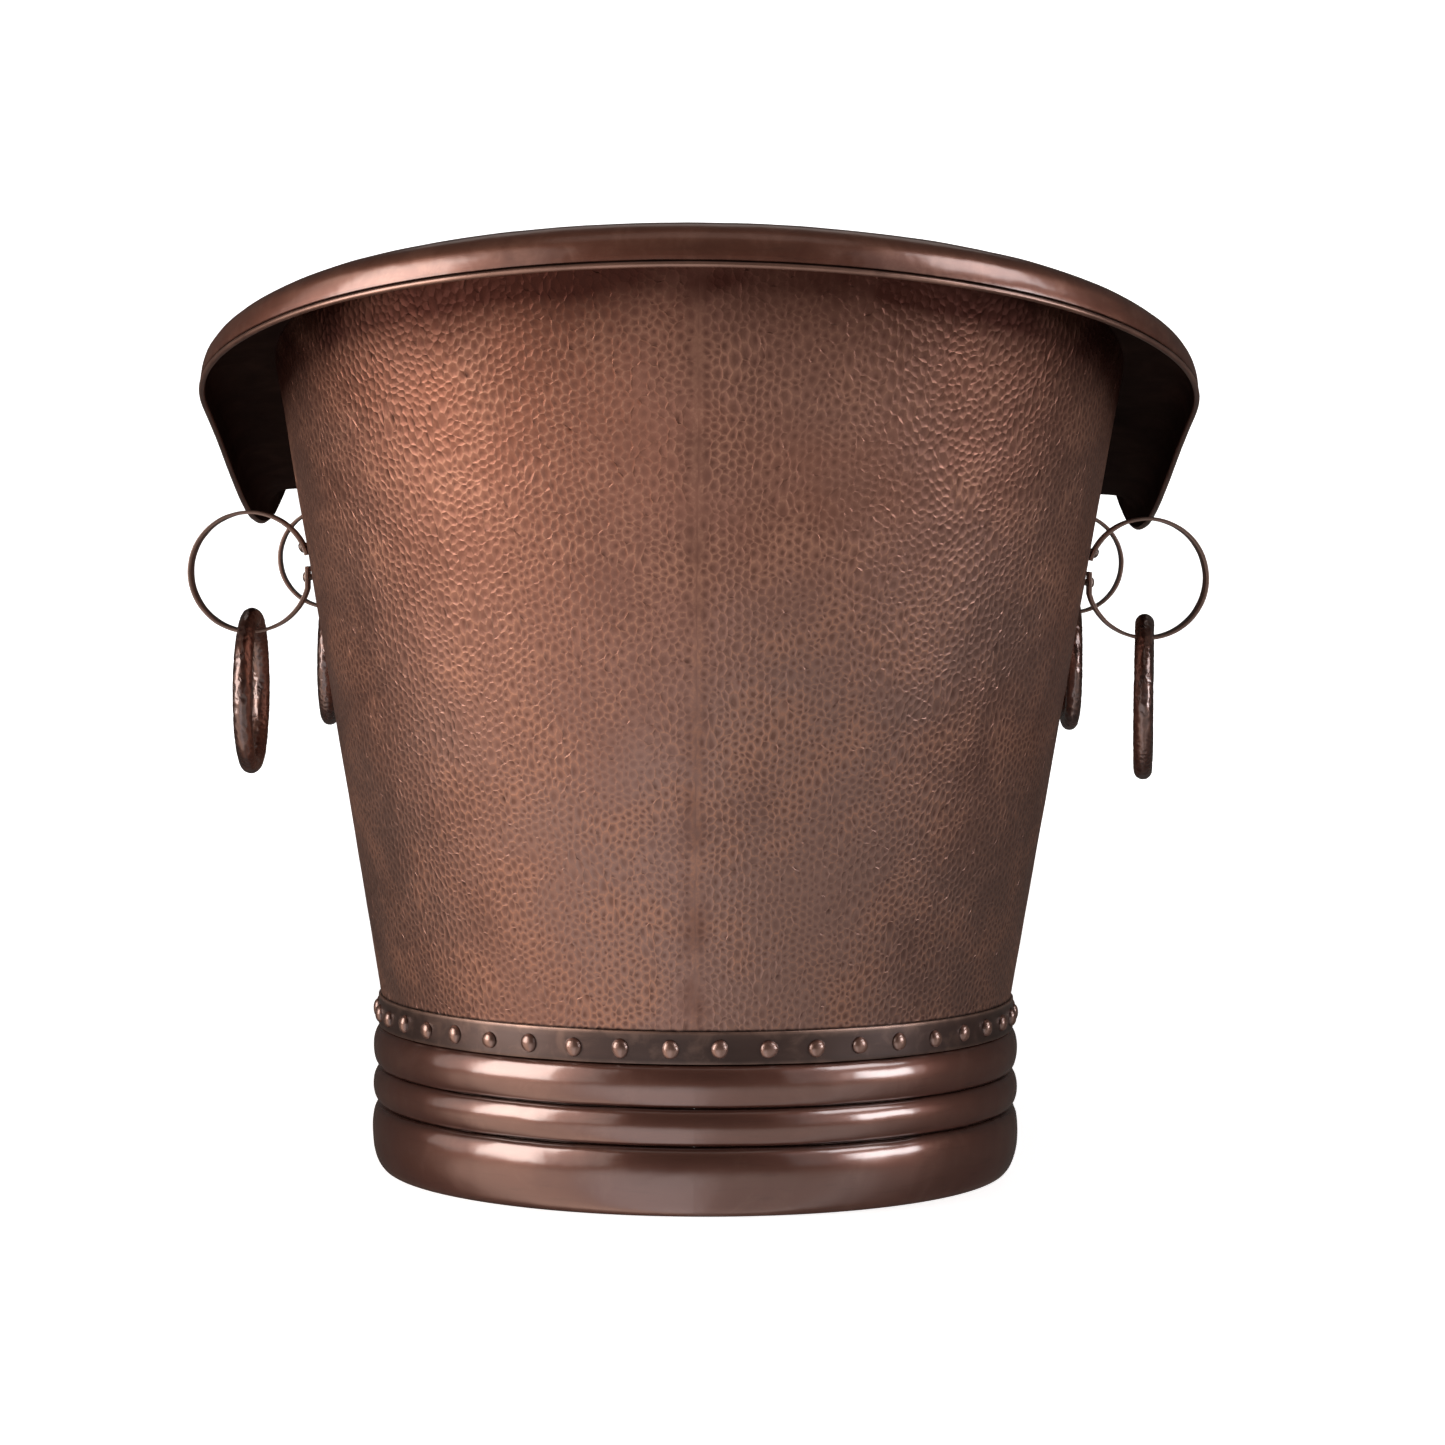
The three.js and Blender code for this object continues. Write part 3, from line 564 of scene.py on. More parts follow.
def wall_half(name, seed):
    r = np.random.default_rng(seed)
    columns = int(round((2 * _arc + _str) / (SPACING * 0.866)))
    pts, cols, count = [], [], 0
    eps = 1e-3
    for ci in range(columns + 1):
        t0 = ci / columns
        edge = ci in (0, columns)
        length = float(np.linalg.norm(wall_point([t0], 1.0)[0] - wall_point([t0], 0.0)[0]))
        m = max(3, int(round(length / SPACING)))
        s = (np.arange(m + 1) + (0.5 if ci % 2 else 0.0)) / m
        s = s[s < 1 - 0.35 / m]
        s = s[s > 0.35 / m]
        s = s[r.uniform(0, 1, len(s)) > 0.07]
        s = s + r.uniform(-0.42, 0.42, len(s)) / m
        s = s + 0.55 / m * np.sin(s * m * 0.21 + ci * 0.37) * np.clip(np.minimum(s, 1 - s) * m - 1, 0, 1)
        s = np.sort(s)
        s = np.concatenate([[0.0], s, [1.0]])
        t = np.full(len(s), t0)
        if not edge:
            j = r.uniform(-0.42, 0.42, len(s)) / columns
            j[0] = j[-1] = 0.0
            t = t + j
        p = wall_point(t, s)
        pts.append(p)
        cols.append(np.arange(count, count + len(s)))
        count += len(s)
    co = np.concatenate(pts)
    tri = []
    for a, b in zip(cols[:-1], cols[1:]):
        tri += zipper(a, b, co)
    tri = np.array(tri)
    # outward direction at each lattice point, from the plan and the lean
    cen = co[tri].mean(1)
    nrm = np.cross(co[tri[:, 1]] - co[tri[:, 0]], co[tri[:, 2]] - co[tri[:, 0]])
    ln = np.linalg.norm(nrm, axis=1)
    nrm /= np.maximum(ln, 1e-9)[:, None]
    nrm[nrm[:, 0] * cen[:, 0] + nrm[:, 1] * np.sign(cen[:, 1]) * 0.2 * np.abs(cen[:, 1]) < 0] *= -1
    vn = np.zeros_like(co)
    for k in range(3):
        np.add.at(vn, tri[:, k], nrm)
    vn /= np.maximum(np.linalg.norm(vn, axis=1), 1e-9)[:, None]
    nl = len(co)
    # fade of the marks at the end seams, and under the band and rim
    fade = lambda q: np.clip((np.abs(q[:, 0]) - 2.0) / 12.0, 0.3, 1.0)
    depth = 0.24 * fade(co) * r.uniform(0.5, 1.3, nl)
    reach, share = np.zeros(nl), np.zeros(nl)
    for k in range(3):
        np.add.at(reach, tri[:, k], np.linalg.norm(cen - co[tri[:, k]], axis=1))
        np.add.at(share, tri[:, k], 1.0)
    depth *= np.clip((reach / np.maximum(share, 1) / 4.2) ** 1.6, 0.1, 1.5)
    edge_row = np.zeros(nl, bool)
    for cidx in cols:
        edge_row[cidx[0]] = edge_row[cidx[-1]] = True
    edge_row[cols[0]] = edge_row[cols[-1]] = True
    depth[edge_row] = 0.0
    lattice = co - vn * depth[:, None]
    verts = np.concatenate([lattice, cen + nrm * 0.03])
    # broad waves left by the planishing
    w = wave(verts, 70.0, 0.55, seed) * np.clip((np.abs(verts[:, 0]) - 1.0) / 50.0, 0, 1)
    vall = np.concatenate([vn, nrm])
    keep = np.concatenate([~edge_row, np.ones(len(cen), bool)])
    verts = verts + vall * (w * keep)[:, None]
    # faces: two for each side shared by two triangles
    e = np.concatenate([tri[:, [0, 1]], tri[:, [1, 2]], tri[:, [2, 0]]])
    owner = np.tile(np.arange(len(tri)), 3)
    key = np.sort(e, 1)
    order = np.lexsort((key[:, 1], key[:, 0]))
    key, owner = key[order], owner[order]
    same = np.all(key[1:] == key[:-1], 1)
    first = np.nonzero(same)[0]
    A, B = key[first, 0], key[first, 1]
    T1, T2 = owner[first] + nl, owner[first + 1] + nl
    faces = [np.stack([A, T1, T2], 1), np.stack([B, T2, T1], 1)]
    single = np.ones(len(key), bool)
    single[first] = single[first + 1] = False
    si = np.nonzero(single)[0]
    faces.append(np.stack([key[si, 0], key[si, 1], owner[si] + nl], 1))
    outer = np.concatenate(faces)
    # the inside face and the edges, so the sheet is closed
    n_in = 120
    extra, base = [], len(verts)
    inner_rows = []
    tt = np.linspace(0, 1, n_in + 1)
    ti_edge = np.linspace(0, 1, columns + 1)
    for q, s in enumerate([-1.0, 0.0, 0.25, 0.5, 0.75, 1.0]):
        tq = ti_edge if s in (-1.0, 1.0) else tt
        top_z = wall_point(tq, 1.0)[:, 2]
        z_ = np.full(len(tq), WALL_BOTTOM) if s < 0 else WALL_COLLAR + s * (top_z - WALL_COLLAR)
        p = wall_point(tq, (z_ - WALL_BOTTOM) / (top_z - WALL_BOTTOM), WALL_T)
        extra.append(p)
        inner_rows.append(np.arange(base, base + len(p)))
        base += len(p)
    verts2 = np.concatenate([verts, *extra])
    ins = []
    for a, b in zip(inner_rows[:-1], inner_rows[1:]):
        ins += zipper(a, b, verts2)
    bottom, top = np.array([c_[0] for c_ in cols]), np.array([c_[-1] for c_ in cols])
    ins += zipper(bottom, inner_rows[0], verts2)
    ins += zipper(top, inner_rows[-1], verts2)
    for col, end in ((cols[0], 0), (cols[-1], -1)):
        ins += zipper(col, np.array([row[end] for row in inner_rows]), verts2)
    ins = np.array(ins)
    nx = len(verts2) - len(verts)
    dimple = np.concatenate([np.zeros(nl), np.ones(len(cen)), np.full(nx, 0.5)])
    tone_l = r.uniform(0, 1, nl)
    for c_ in (cols[0], cols[-1]):
        dimple[c_] = r.uniform(0.45, 1.0, len(c_))
    tone = np.concatenate([tone_l, tone_l[tri].mean(1), np.full(nx, 0.5)])
    size = np.clip((reach / np.maximum(share, 1) / 4.2) ** 1.6, 0.1, 1.4)
    amp = np.concatenate([fade(co) * size, fade(cen) * size[tri].min(1), np.zeros(nx)])
    seamv = np.exp(-((verts2[:, 0] - 2.5) / 8.0) ** 2)
    # painted shade: the 'under' value darkens the wall towards the rim, standing in for the shadow of the rim's
    # overhang
    lip = edge_height(np.clip(np.abs(verts2[:, 1]) * 1.03, 0, 852)) + 3.0
    under = np.exp(-np.clip(lip - verts2[:, 2], 0, 400) / 39.0)
    return verts2, [outer, ins], {"dimple": dimple, "tone": tone, "amp": amp, "seam": seamv, "under": under}


for side, sign, seed in (("right", 1, 11), ("left", -1, 12)):
    v_, f_, a_ = wall_half("wall", seed)
    v_[:, 0] = np.maximum(v_[:, 0], -0.02)
    if sign < 0:
        v_[:, 0] *= -1
        v_[:, 1] *= -1
    ob = mesh_object("hammered_wall_" + side, v_, f_, a_, smooth=50)
    finish_piece(ob, M_WALL, "tub", ["wall_" + side])

# ------------------------------------------------------------------------- rim
RIM_OUTER = [[-32.6, -15], [-31, -7.4], [-27, -1.8], [-19, 0.8], [0, 1.5], [24, 1.5],
             [41, 0.2], [51, -3.8], [57.4, -10.5], [60.4, -18.5], [61.4, -25.0], [61.3, -27.3],
             [60.4, -27.9], [59.4, -28.6], [59.0, -30.6]]
RIM_INNER = [[57.2, -30.6], [57.6, -25.5], [57.2, -19.4], [55.7, -11.6], [49.8, -5.5], [40.5, -1.8],
             [24, -0.5], [0, -0.5], [-18.4, -1.2], [-25.6, -3.4], [-29, -8.2], [-30.6, -15]]


def full_sweep(name, st, profile, y0, r, level, relief=None, attrs=None, smooth=40):
    n, m = st.n - 1, len(profile)
    co = np.empty((n, m, 3))
    p = np.array(profile)
    t = np.roll(p, -1, 0) - np.roll(p, 1, 0)
    t /= np.maximum(np.hypot(t[:, 0], t[:, 1]), 1e-9)[:, None]
    area = 0.5 * np.sum(p[:, 0] * np.roll(p[:, 1], -1) - np.roll(p[:, 0], -1) * p[:, 1])
    no, nh = (t[:, 1], -t[:, 0]) if area > 0 else (-t[:, 1], t[:, 0])
    for j, (o, h) in enumerate(profile):
        x, y = st.plan(y0, r + o)
        co[:, j, 0], co[:, j, 1], co[:, j, 2] = x[:-1], y[:-1], h + level[:-1]
    both = np.concatenate([co, co * np.array([-1, -1, 1.0])])
    nx = np.concatenate([st.c[:-1], -st.c[:-1]])
    ny = np.concatenate([st.s[:-1], -st.s[:-1]])
    if relief is not None:
        a = relief(both.reshape(-1, 3)).reshape(2 * n, m)
        both[:, :, 0] += nx[:, None] * no[None] * a
        both[:, :, 1] += ny[:, None] * no[None] * a
        both[:, :, 2] += nh[None] * a
    at = {k: np.tile(np.asarray(v, float), 2 * n) for k, v in (attrs or {}).items()}
    return mesh_object(name, both.reshape(-1, 3), [grid_faces(2 * n, m, True, True)], at, smooth)


FINE = Stations(64, 96)
rim_out = open_profile(RIM_OUTER, 1.6)
rim_in = open_profile(RIM_INNER, 4.0)
rim_pts = np.concatenate([rim_out, rim_in])
rim_wear = np.concatenate([np.exp(-((rim_out[:, 0] - 57.0) / 5.0) ** 2) * 0.5
                           + np.exp(-((rim_out[:, 0] + 30.0) / 4.0) ** 2) * 0.3, np.zeros(len(rim_in))])
# painted shade: darker at the lip's tuck into the groove and over the whole underside
rim_painted_shade = np.concatenate([np.clip((-26.9 - rim_out[:, 1]) / 1.0, 0, 1) * (rim_out[:, 0] > 40), np.full(len(rim_in), 0.9)])
ob = full_sweep("rolled_rim", FINE, rim_pts, TOP_Y0, TOP_R, FINE.level(),
                relief=lambda c: wave(c, 34.0, 0.28, 3), attrs={"wear": rim_wear, "grime_and_shade": rim_painted_shade}, smooth=50)
finish_piece(ob, M_RIM, "tub", ["rim_flange"])
# faces of the groove and the underside get a near-black material without coat: painted shade for the dark under the
# rim's overhang
ob.data.materials.append(M_UNDERSIDE_SHADE)
cols_ = len(rim_pts)
gro = np.zeros(cols_, np.int32)
for j_ in range(cols_):
    o_, h_ = rim_pts[j_]
    if j_ >= len(rim_out) or (o_ > 50 and h_ < -27.5):
        gro[j_] = 1
idx_ = np.tile(gro, len(ob.data.polygons) // cols_)
ob.data.polygons.foreach_set("material_index", idx_)

ang = np.linspace(0, 2 * math.pi, 15)[:-1]
bead_pts = np.stack([BEAD_O - 0.2 + (BEAD_R - 0.5) * np.cos(ang), BEAD_H + 0.1 + (BEAD_R - 0.5) * np.sin(ang)], 1)
ob = full_sweep("rim_wire_bead", FINE, bead_pts, TOP_Y0, TOP_R, FINE.level(),
                relief=lambda c: wave(c, 22.0, 0.12, 4),
                attrs={"wear": np.clip(np.cos(ang), 0, 1) ** 2 * 0.9, "grime_and_shade": np.clip(np.sin(ang), 0, 1) ** 2 * 0.8})
finish_piece(ob, M_BEAD, "tub", ["rim_bead"])

# ----------------------------------------------------------------------- basin
BASIN_TOP_O = -26.9
LOW = (300.0, 238.0, 190.0)
BEND = [(297, 224, 156), (291, 200, 134), (282, 168, 125)]
DRAIN_R, FLOOR_Z = 23.0, 120.0


def basin_rows(st):
    """Face of the basin: list of (x, y, z) rows from the rim down to the drain hole."""
    top = (TOP_Y0, TOP_R + BASIN_TOP_O)
    zt = st.level() - 9.5
    rows = []
    for f in np.linspace(0, 1, 68)[:-1]:
        y0, r = top[0] + (LOW[0] - top[0]) * f, top[1] + (LOW[1] - top[1]) * f
        rows.append((*st.plan(y0, r), zt + (LOW[2] - zt) * f))
    p = np.array([LOW, *BEND, (265, 120, 123.4)], float)
    before = p[0] * 2 - p[1]
    before[2] = p[0][2] + 22
    ext = np.array([before, *p, p[-1] + (p[-1] - p[-2])])
    for i in range(1, len(ext) - 2):
        a, b, c, d = ext[i - 1:i + 3]
        for q in range(6):
            t = q / 6
            y0, r, z = 0.5 * ((2 * b) + (-a + c) * t + (2 * a - 5 * b + 4 * c - d) * t * t
                              + (-a + 3 * b - 3 * c + d) * t ** 3)
            rows.append((*st.plan(y0, r), np.full(st.n, z)))
    last = (*st.plan(265, 120), 123.4)
    px, py = st.plan(150, 150)
    ang_ = np.arctan2(py, px)
    hx, hy = DRAIN_R * np.cos(ang_), DRAIN_R * np.sin(ang_)
    for f in np.linspace(0, 1, 28):
        g = f ** 0.8
        rows.append((last[0] + (hx - last[0]) * g, last[1] + (hy - last[1]) * g,
                     np.full(st.n, last[2] + (FLOOR_Z - last[2]) * f)))
    return rows


BST = Stations(66, 104)
rows = basin_rows(BST)
co = np.stack([np.stack(r_, -1) for r_ in rows], 1)[:-1]          # station, row, xyz
co = np.concatenate([co, co * np.array([-1, -1, 1.0])])
n_, m_ = co.shape[:2]
du = np.roll(co, -1, 0) - np.roll(co, 1, 0)
dv = np.empty_like(co)
dv[:, 1:-1] = co[:, 2:] - co[:, :-2]
dv[:, 0], dv[:, -1] = co[:, 1] - co[:, 0], co[:, -1] - co[:, -2]
nn = np.cross(du, dv)
nn /= np.maximum(np.linalg.norm(nn, axis=2), 1e-9)[..., None]
if nn[0, 5] @ np.array([0, 1.0, 0.2]) < 0:   # at the near end the face looks along +Y
    nn = -nn
flat = co.reshape(-1, 3)
# middles of the marks: a random order, each kept only if it stands clear of those before it
taken, pick = {}, []
for i_ in rng.permutation(len(flat)).tolist():
    q_ = flat[i_] / 15.0
    key_ = tuple(np.floor(q_).astype(int).tolist())
    near_ = [w_ for a_ in (-1, 0, 1) for b_ in (-1, 0, 1) for c_ in (-1, 0, 1)
             for w_ in taken.get((key_[0] + a_, key_[1] + b_, key_[2] + c_), ())]
    if all((q_[0] - w_[0]) ** 2 + (q_[1] - w_[1]) ** 2 + (q_[2] - w_[2]) ** 2 > 1.0 for w_ in near_):
        taken.setdefault(key_, []).append(q_.tolist())
        pick.append(i_)
tree = cell_tree(flat[pick])
dim, tone = dimples(flat, tree, 18.0)
lift = (-0.40 * (1 - dim ** 2) + wave(flat, 90.0, 0.8, 9)).reshape(n_, m_)
lift[:, 0] = lift[:, -1] = 0
top_face = co + nn * lift[..., None]
under = co - nn * 2.0
sect = np.concatenate([top_face, under[:, ::-1]], 1)
both_attr = lambda a, fill: np.concatenate([a.reshape(n_, m_), np.full((n_, m_), fill)], 1).ravel()
ob = mesh_object("inner_basin", sect.reshape(-1, 3), [grid_faces(n_, 2 * m_, True, True)],
                 {"dimple": both_attr(dim, 0.5), "tone": both_attr(tone, 0.5), "amp": both_attr(np.ones(len(flat)) * 0.6, 0.0)}, 60)
finish_piece(ob, M_BASIN, "tub", ["basin_shell_front", "basin_shell_rear", "basin_pan"])

# ------------------------------------------------------------------------ foot
HALF = Stations(64, 90)


def calm_seam(c):
    return np.clip((np.abs(c[:, 0]) - 1.0) / 45.0, 0, 1)




def turn_half(co):
    return co * np.array([-1, -1, 1.0])


def both_halves(name, profile, extra, mat, nodes, relief_size, relief_amount, seed, more=None, smooth=38):
    co, quads, attrs, m = half_sweep(name, HALF, profile, BASE_Y0, BASE_R,
                                     relief=lambda c: wave(c, relief_size, relief_amount, seed) * calm_seam(c), extra=extra)
    co2, _, _, _ = half_sweep(name, HALF, profile, BASE_Y0, BASE_R,
                              relief=lambda c: wave(c, relief_size, relief_amount, seed + 1) * calm_seam(c), extra=extra)
    obs = cap_and_build(name, [(co, quads, attrs, m, "_right"), (turn_half(co2), quads, attrs, m, "_left")], smooth)
    for ob, side in zip(obs, ("right", "left")):
        finish_piece(ob, mat, "tub", [f"{n}_{side}" for n in nodes])
    return obs


# band: a flat strap with softened edges
B0, B1, BT = 124.8, 151.3, 2.3
band_pts = [(0.3, B0), (BT - 0.5, B0), (BT - 0.1, B0 + 0.4), (BT, B0 + 1.1)]
band_pts += [(BT, z) for z in np.linspace(B0 + 3, B1 - 3, 6)]
band_pts += [(BT, B1 - 1.1), (BT - 0.1, B1 - 0.4), (BT - 0.5, B1), (0.3, B1)]
bp = np.array(band_pts)
band_wear = np.exp(-((bp[:, 1] - B1) / 2.2) ** 2) * 1.0 + np.exp(-((bp[:, 1] - B0) / 1.6) ** 2) * 0.55
band_grime = np.exp(-((bp[:, 1] - B0 - 1.5) / 2.0) ** 2) * 0.6 * (bp[:, 0] > 1)
both_halves("riveted_band", band_pts, {"wear": band_wear, "grime_and_shade": band_grime}, M_BAND,
            ["rivet_band"], 38.0, 0.22, 21)

# rivet heads, each a little different
def rivet_mesh(radius, height, rings=7, seg=22, seed=0, skirt=0.6):
    r = random.Random(seed)
    co, at = [], []
    ph = r.uniform(0, 6.28)
    el = r.uniform(0.94, 1.06)
    for i in range(rings + 1):
        a = math.pi / 2 * i / rings
        rr = radius * math.cos(a) ** 0.85
        hh = height * math.sin(a) ** 1.05
        if i == rings:
            co.append((height, 0.0, 0.0))
            at.append(1.0)
            break
        for j in range(seg):
            q = 2 * math.pi * j / seg
            w = 1 + 0.035 * math.sin(2 * q + ph) + 0.02 * math.sin(3 * q + ph * 2)
            co.append((hh, rr * math.cos(q) * w * el, rr * math.sin(q) * w / el))
            at.append(math.sin(a))
    base = []
    for j in range(seg):
        q = 2 * math.pi * j / seg
        base.append((-skirt, radius * math.cos(q), radius * math.sin(q)))
    n0 = len(co)
    co += base
    at += [0.0] * seg
    faces3, faces4 = [], []
    for i in range(rings - 1):
        for j in range(seg):
            k = (j + 1) % seg
            faces4.append((i * seg + j, i * seg + k, (i + 1) * seg + k, (i + 1) * seg + j))
    for j in range(seg):
        faces3.append(((rings - 1) * seg + j, (rings - 1) * seg + (j + 1) % seg, n0 - 1))
        faces4.append((n0 + j, n0 + (j + 1) % seg, (j + 1) % seg, j))
    return np.array(co), faces3, faces4, [tuple(n0 + j for j in range(seg))[::-1]], np.array(at)


def rivet_row(side):
    r_ = BASE_R + 0.3 + 2.0
    quarter = math.pi / 2 * r_
    half, n = 2 * (quarter + BASE_Y0), 36
    co, faces, wear, grime_and_shade = [], [], [], []
    count = 0
    rr = random.Random(5 if side == "right" else 6)
    for i in range(n):
        s = (i + 0.5) * half / n + rr.uniform(-0.9, 0.9)
        if s < quarter:
            a = -math.pi / 2 + s / r_
            x, y = r_ * math.cos(a), -BASE_Y0 + r_ * math.sin(a)
        elif s < quarter + 2 * BASE_Y0:
            a, x, y = 0.0, r_, -BASE_Y0 + (s - quarter)
        else:
            a = (s - quarter - 2 * BASE_Y0) / r_
            x, y = r_ * math.cos(a), BASE_Y0 + r_ * math.sin(a)
        c_, f3, f4, fn, at = rivet_mesh(7.1 * rr.uniform(0.94, 1.03), 4.9 * rr.uniform(0.9, 1.08), seed=i + (100 if side == "left" else 0))
        ca, sa = math.cos(a), math.sin(a)
        p = np.stack([x + c_[:, 0] * ca - c_[:, 1] * sa, y + c_[:, 0] * sa + c_[:, 1] * ca,
                      137.0 + rr.uniform(-0.6, 0.6) + c_[:, 2] * 1.1], 1)
        co.append(p)
        faces += [tuple(q + count for q in f) for f in f3 + f4 + fn]
        wear.append(at)
        grime_and_shade.append((1 - at) ** 3)
        count += len(c_)
    co = np.concatenate(co)
    if side == "left":
        co = turn_half(co)
    me = bpy.data.meshes.new("band_rivets_" + side)
    me.from_pydata((co * MM).tolist(), [], faces)
    me.attributes.new("wear", "FLOAT", "POINT").data.foreach_set("value", np.concatenate(wear).astype(np.float32))
    me.attributes.new("grime_and_shade", "FLOAT", "POINT").data.foreach_set("value", np.concatenate(grime_and_shade).astype(np.float32))
    bm = bmesh.new()
    bm.from_mesh(me)
    bmesh.ops.recalc_face_normals(bm, faces=bm.faces)
    bm.to_mesh(me)
    bm.free()
    me.polygons.foreach_set("use_smooth", np.ones(len(me.polygons), bool))
    me.set_sharp_from_angle(angle=math.radians(60))
    ob = bpy.data.objects.new("band_rivets_" + side, me)
    bpy.context.scene.collection.objects.link(ob)
    return finish_piece(ob, M_RIVET, "tub", [])


rivet_row("right")
rivet_row("left")


def rib_profile(z0, z1):
    back, zc, h, proud, t = SKIRT_O + 0.3, (z0 + z1) / 2, (z1 - z0) / 2, 6.6, 1.6
    a = np.linspace(-math.pi / 2, math.pi / 2, 23)
    out = np.stack([back + (proud - back) * np.cos(a) ** 0.9, zc + h * np.sin(a)], 1)
    b = a[::-1][::2]
    inn = np.stack([back + (proud - t - back) * np.cos(b), zc + (h - t) * np.sin(b)], 1)
    pts = np.concatenate([out, inn])
    q = np.concatenate([np.abs(np.sin(a)), np.ones(len(b))])
    grime_and_shade = np.clip((q - 0.80) / 0.2, 0, 1) ** 1.5
    wear = np.concatenate([np.cos(a) ** 6 * 0.35, np.zeros(len(b))])
    return pts, {"wear": wear, "grime_and_shade": grime_and_shade}


for label, z0, z1, seed in (("rib_upper", 88.9, 124.4, 31), ("rib_lower", 57.7, 88.5, 33)):
    pts, ex = rib_profile(z0, z1)
    both_halves("half_round_" + label, pts, ex, M_MOULD, [label], 46.0, 0.55, seed)

PB = SKIRT_O + 0.3
pl_out = open_profile([[PB, 57.3], [1.4, 56.3], [4.9, 52.4], [6.9, 45.5], [7.6, 34], [6.3, 19.5], [2.4, 7.4], [-2.2, 1.2], [-5, 0]], 1.7)
pl_in = open_profile([[-5.6, 1.8], [-0.8, 6.2], [4.1, 18.6], [5.8, 34], [5.3, 44.2], [2.6, 52.6], [PB, 55.4]], 5.0)
pl = np.concatenate([pl_out, [[-21, 0], [-21, 1.8]], pl_in])
pz = pl[:, 1]
pl_wear = np.concatenate([np.exp(-((pl_out[:, 1] - 36) / 12) ** 2) * 0.3 + np.exp(-((pl_out[:, 1] - 4) / 3) ** 2) * 0.45, np.zeros(len(pl) - len(pl_out))])
pl_grime = np.concatenate([np.exp(-((pl_out[:, 1] - 57.3) / 3.2) ** 2), np.ones(len(pl) - len(pl_out))])


def plinth_relief(seed):
    # no relief on the hem, so it stands flat on the floor
    def f(c):
        w = wave(c, 52.0, 0.75, seed)
        return w * np.clip((c[:, 2] - 3.0) / 10.0, 0, 1) * calm_seam(c)
    return f


parts = []
for suffix, seed, sgn in (("_right", 41, 1), ("_left", 43, -1)):
    co_, quads_, attrs_, mm_ = half_sweep("plinth", HALF, pl, BASE_Y0, BASE_R, relief=plinth_relief(seed),
                                          extra={"wear": pl_wear, "grime_and_shade": pl_grime})
    parts.append((co_ if sgn > 0 else turn_half(co_), quads_, attrs_, mm_, suffix))
for ob, side in zip(cap_and_build("belly_plinth", parts), ("right", "left")):
    finish_piece(ob, M_MOULD, "tub", ["plinth_" + side])

# --------------------------------------------------------------------- handles
BX, BY, BZ = 380.0, 370.0, 516.0
SR, ST, SW = 50.5, 3.0, 25.6
RING_R, TUBE = 62.5, 8.1
RX, RZ = 379.0, BZ - (SR - ST / 2) + 8.5 + 2.2
RING_TURN = {"front_left": -1.0, "front_right": -6.5, "rear_left": 0.0, "rear_right": 0.0}
PLACES = {"front_left": (-1, -1), "front_right": (1, -1), "rear_left": (-1, 1), "rear_right": (1, 1)}


def strap_mesh(name, seed):
    r = random.Random(seed)
    path = [(SR * math.cos(math.radians(d)), SR * math.sin(math.radians(d))) for d in np.arange(163, -158, -3.0)]
    tab = [(-48.6, z) for z in np.linspace(-13.5, 5, 9)]
    last = path[-1]
    # ease from the round into the upright tab
    for f in (0.33, 0.66):
        path.append((last[0] + (tab[0][0] - last[0]) * f - 0.3 * (1 - f), last[1] + (tab[0][1] - last[1]) * f))
    path += tab
    p = np.array(path)
    d = np.empty_like(p)
    d[1:-1] = p[2:] - p[:-2]
    d[0], d[-1] = p[1] - p[0], p[-1] - p[-2]
    d /= np.hypot(d[:, 0], d[:, 1])[:, None]
    nrm = np.stack([-d[:, 1], d[:, 0]], 1)
    hw, ht, bev = SW / 2, ST / 2, 0.55
    sec = [(-hw, -ht + bev), (-hw + bev * 0.3, -ht + bev * 0.3), (-hw + bev, -ht)]
    sec += [(w, -ht) for w in np.linspace(-hw * 0.7, hw * 0.7, 5)]
    sec += [(hw - bev, -ht), (hw - bev * 0.3, -ht + bev * 0.3), (hw, -ht + bev)]
    sec += [(hw, ht - bev), (hw - bev * 0.3, ht - bev * 0.3), (hw - bev, ht)]
    sec += [(w, ht) for w in np.linspace(hw * 0.7, -hw * 0.7, 5)]
    sec += [(-hw + bev, ht), (-hw + bev * 0.3, ht - bev * 0.3), (-hw, ht - bev)]
    n, m = len(p), len(sec)
    co = np.empty((n, m, 3))
    for i in range(n):
        for j, (w, t) in enumerate(sec):
            co[i, j] = (p[i, 0] + nrm[i, 0] * t, w, p[i, 1] + nrm[i, 1] * t)
    flat_ = co.reshape(-1, 3)
    k = wave(flat_, 11.0, 0.22, seed, 1).reshape(n, m)
    # the lower run carries the ring, so it is left plain there
    calm = np.clip((np.hypot(p[:, 0], p[:, 1] + SR) - 12) / 14, 0, 1)
    flatten = np.clip((p[:, 0] + 40) / 6, 0, 1)
    for i in range(n):
        co[i, :, 0] += nrm[i, 0] * k[i] * calm[i] * flatten[i]
        co[i, :, 2] += nrm[i, 1] * k[i] * calm[i] * flatten[i]
    edge = np.array([1.0 if abs(abs(w) - hw) < bev * 1.05 else 0.0 for w, t in sec])
    wear = np.tile(edge * 0.8, n)
    grime_and_shade = np.tile((1 - edge) * 0.15, n)
    faces = [tuple(f) for f in grid_faces(n, m, False, True).tolist()]
    faces += [tuple(range(m)), tuple(range((n - 1) * m, n * m))]
    me = bpy.data.meshes.new(name)
    me.from_pydata((co.reshape(-1, 3) * MM).tolist(), [], faces)
    me.attributes.new("wear", "FLOAT", "POINT").data.foreach_set("value", wear.astype(np.float32))
    me.attributes.new("grime_and_shade", "FLOAT", "POINT").data.foreach_set("value", grime_and_shade.astype(np.float32))
    return me


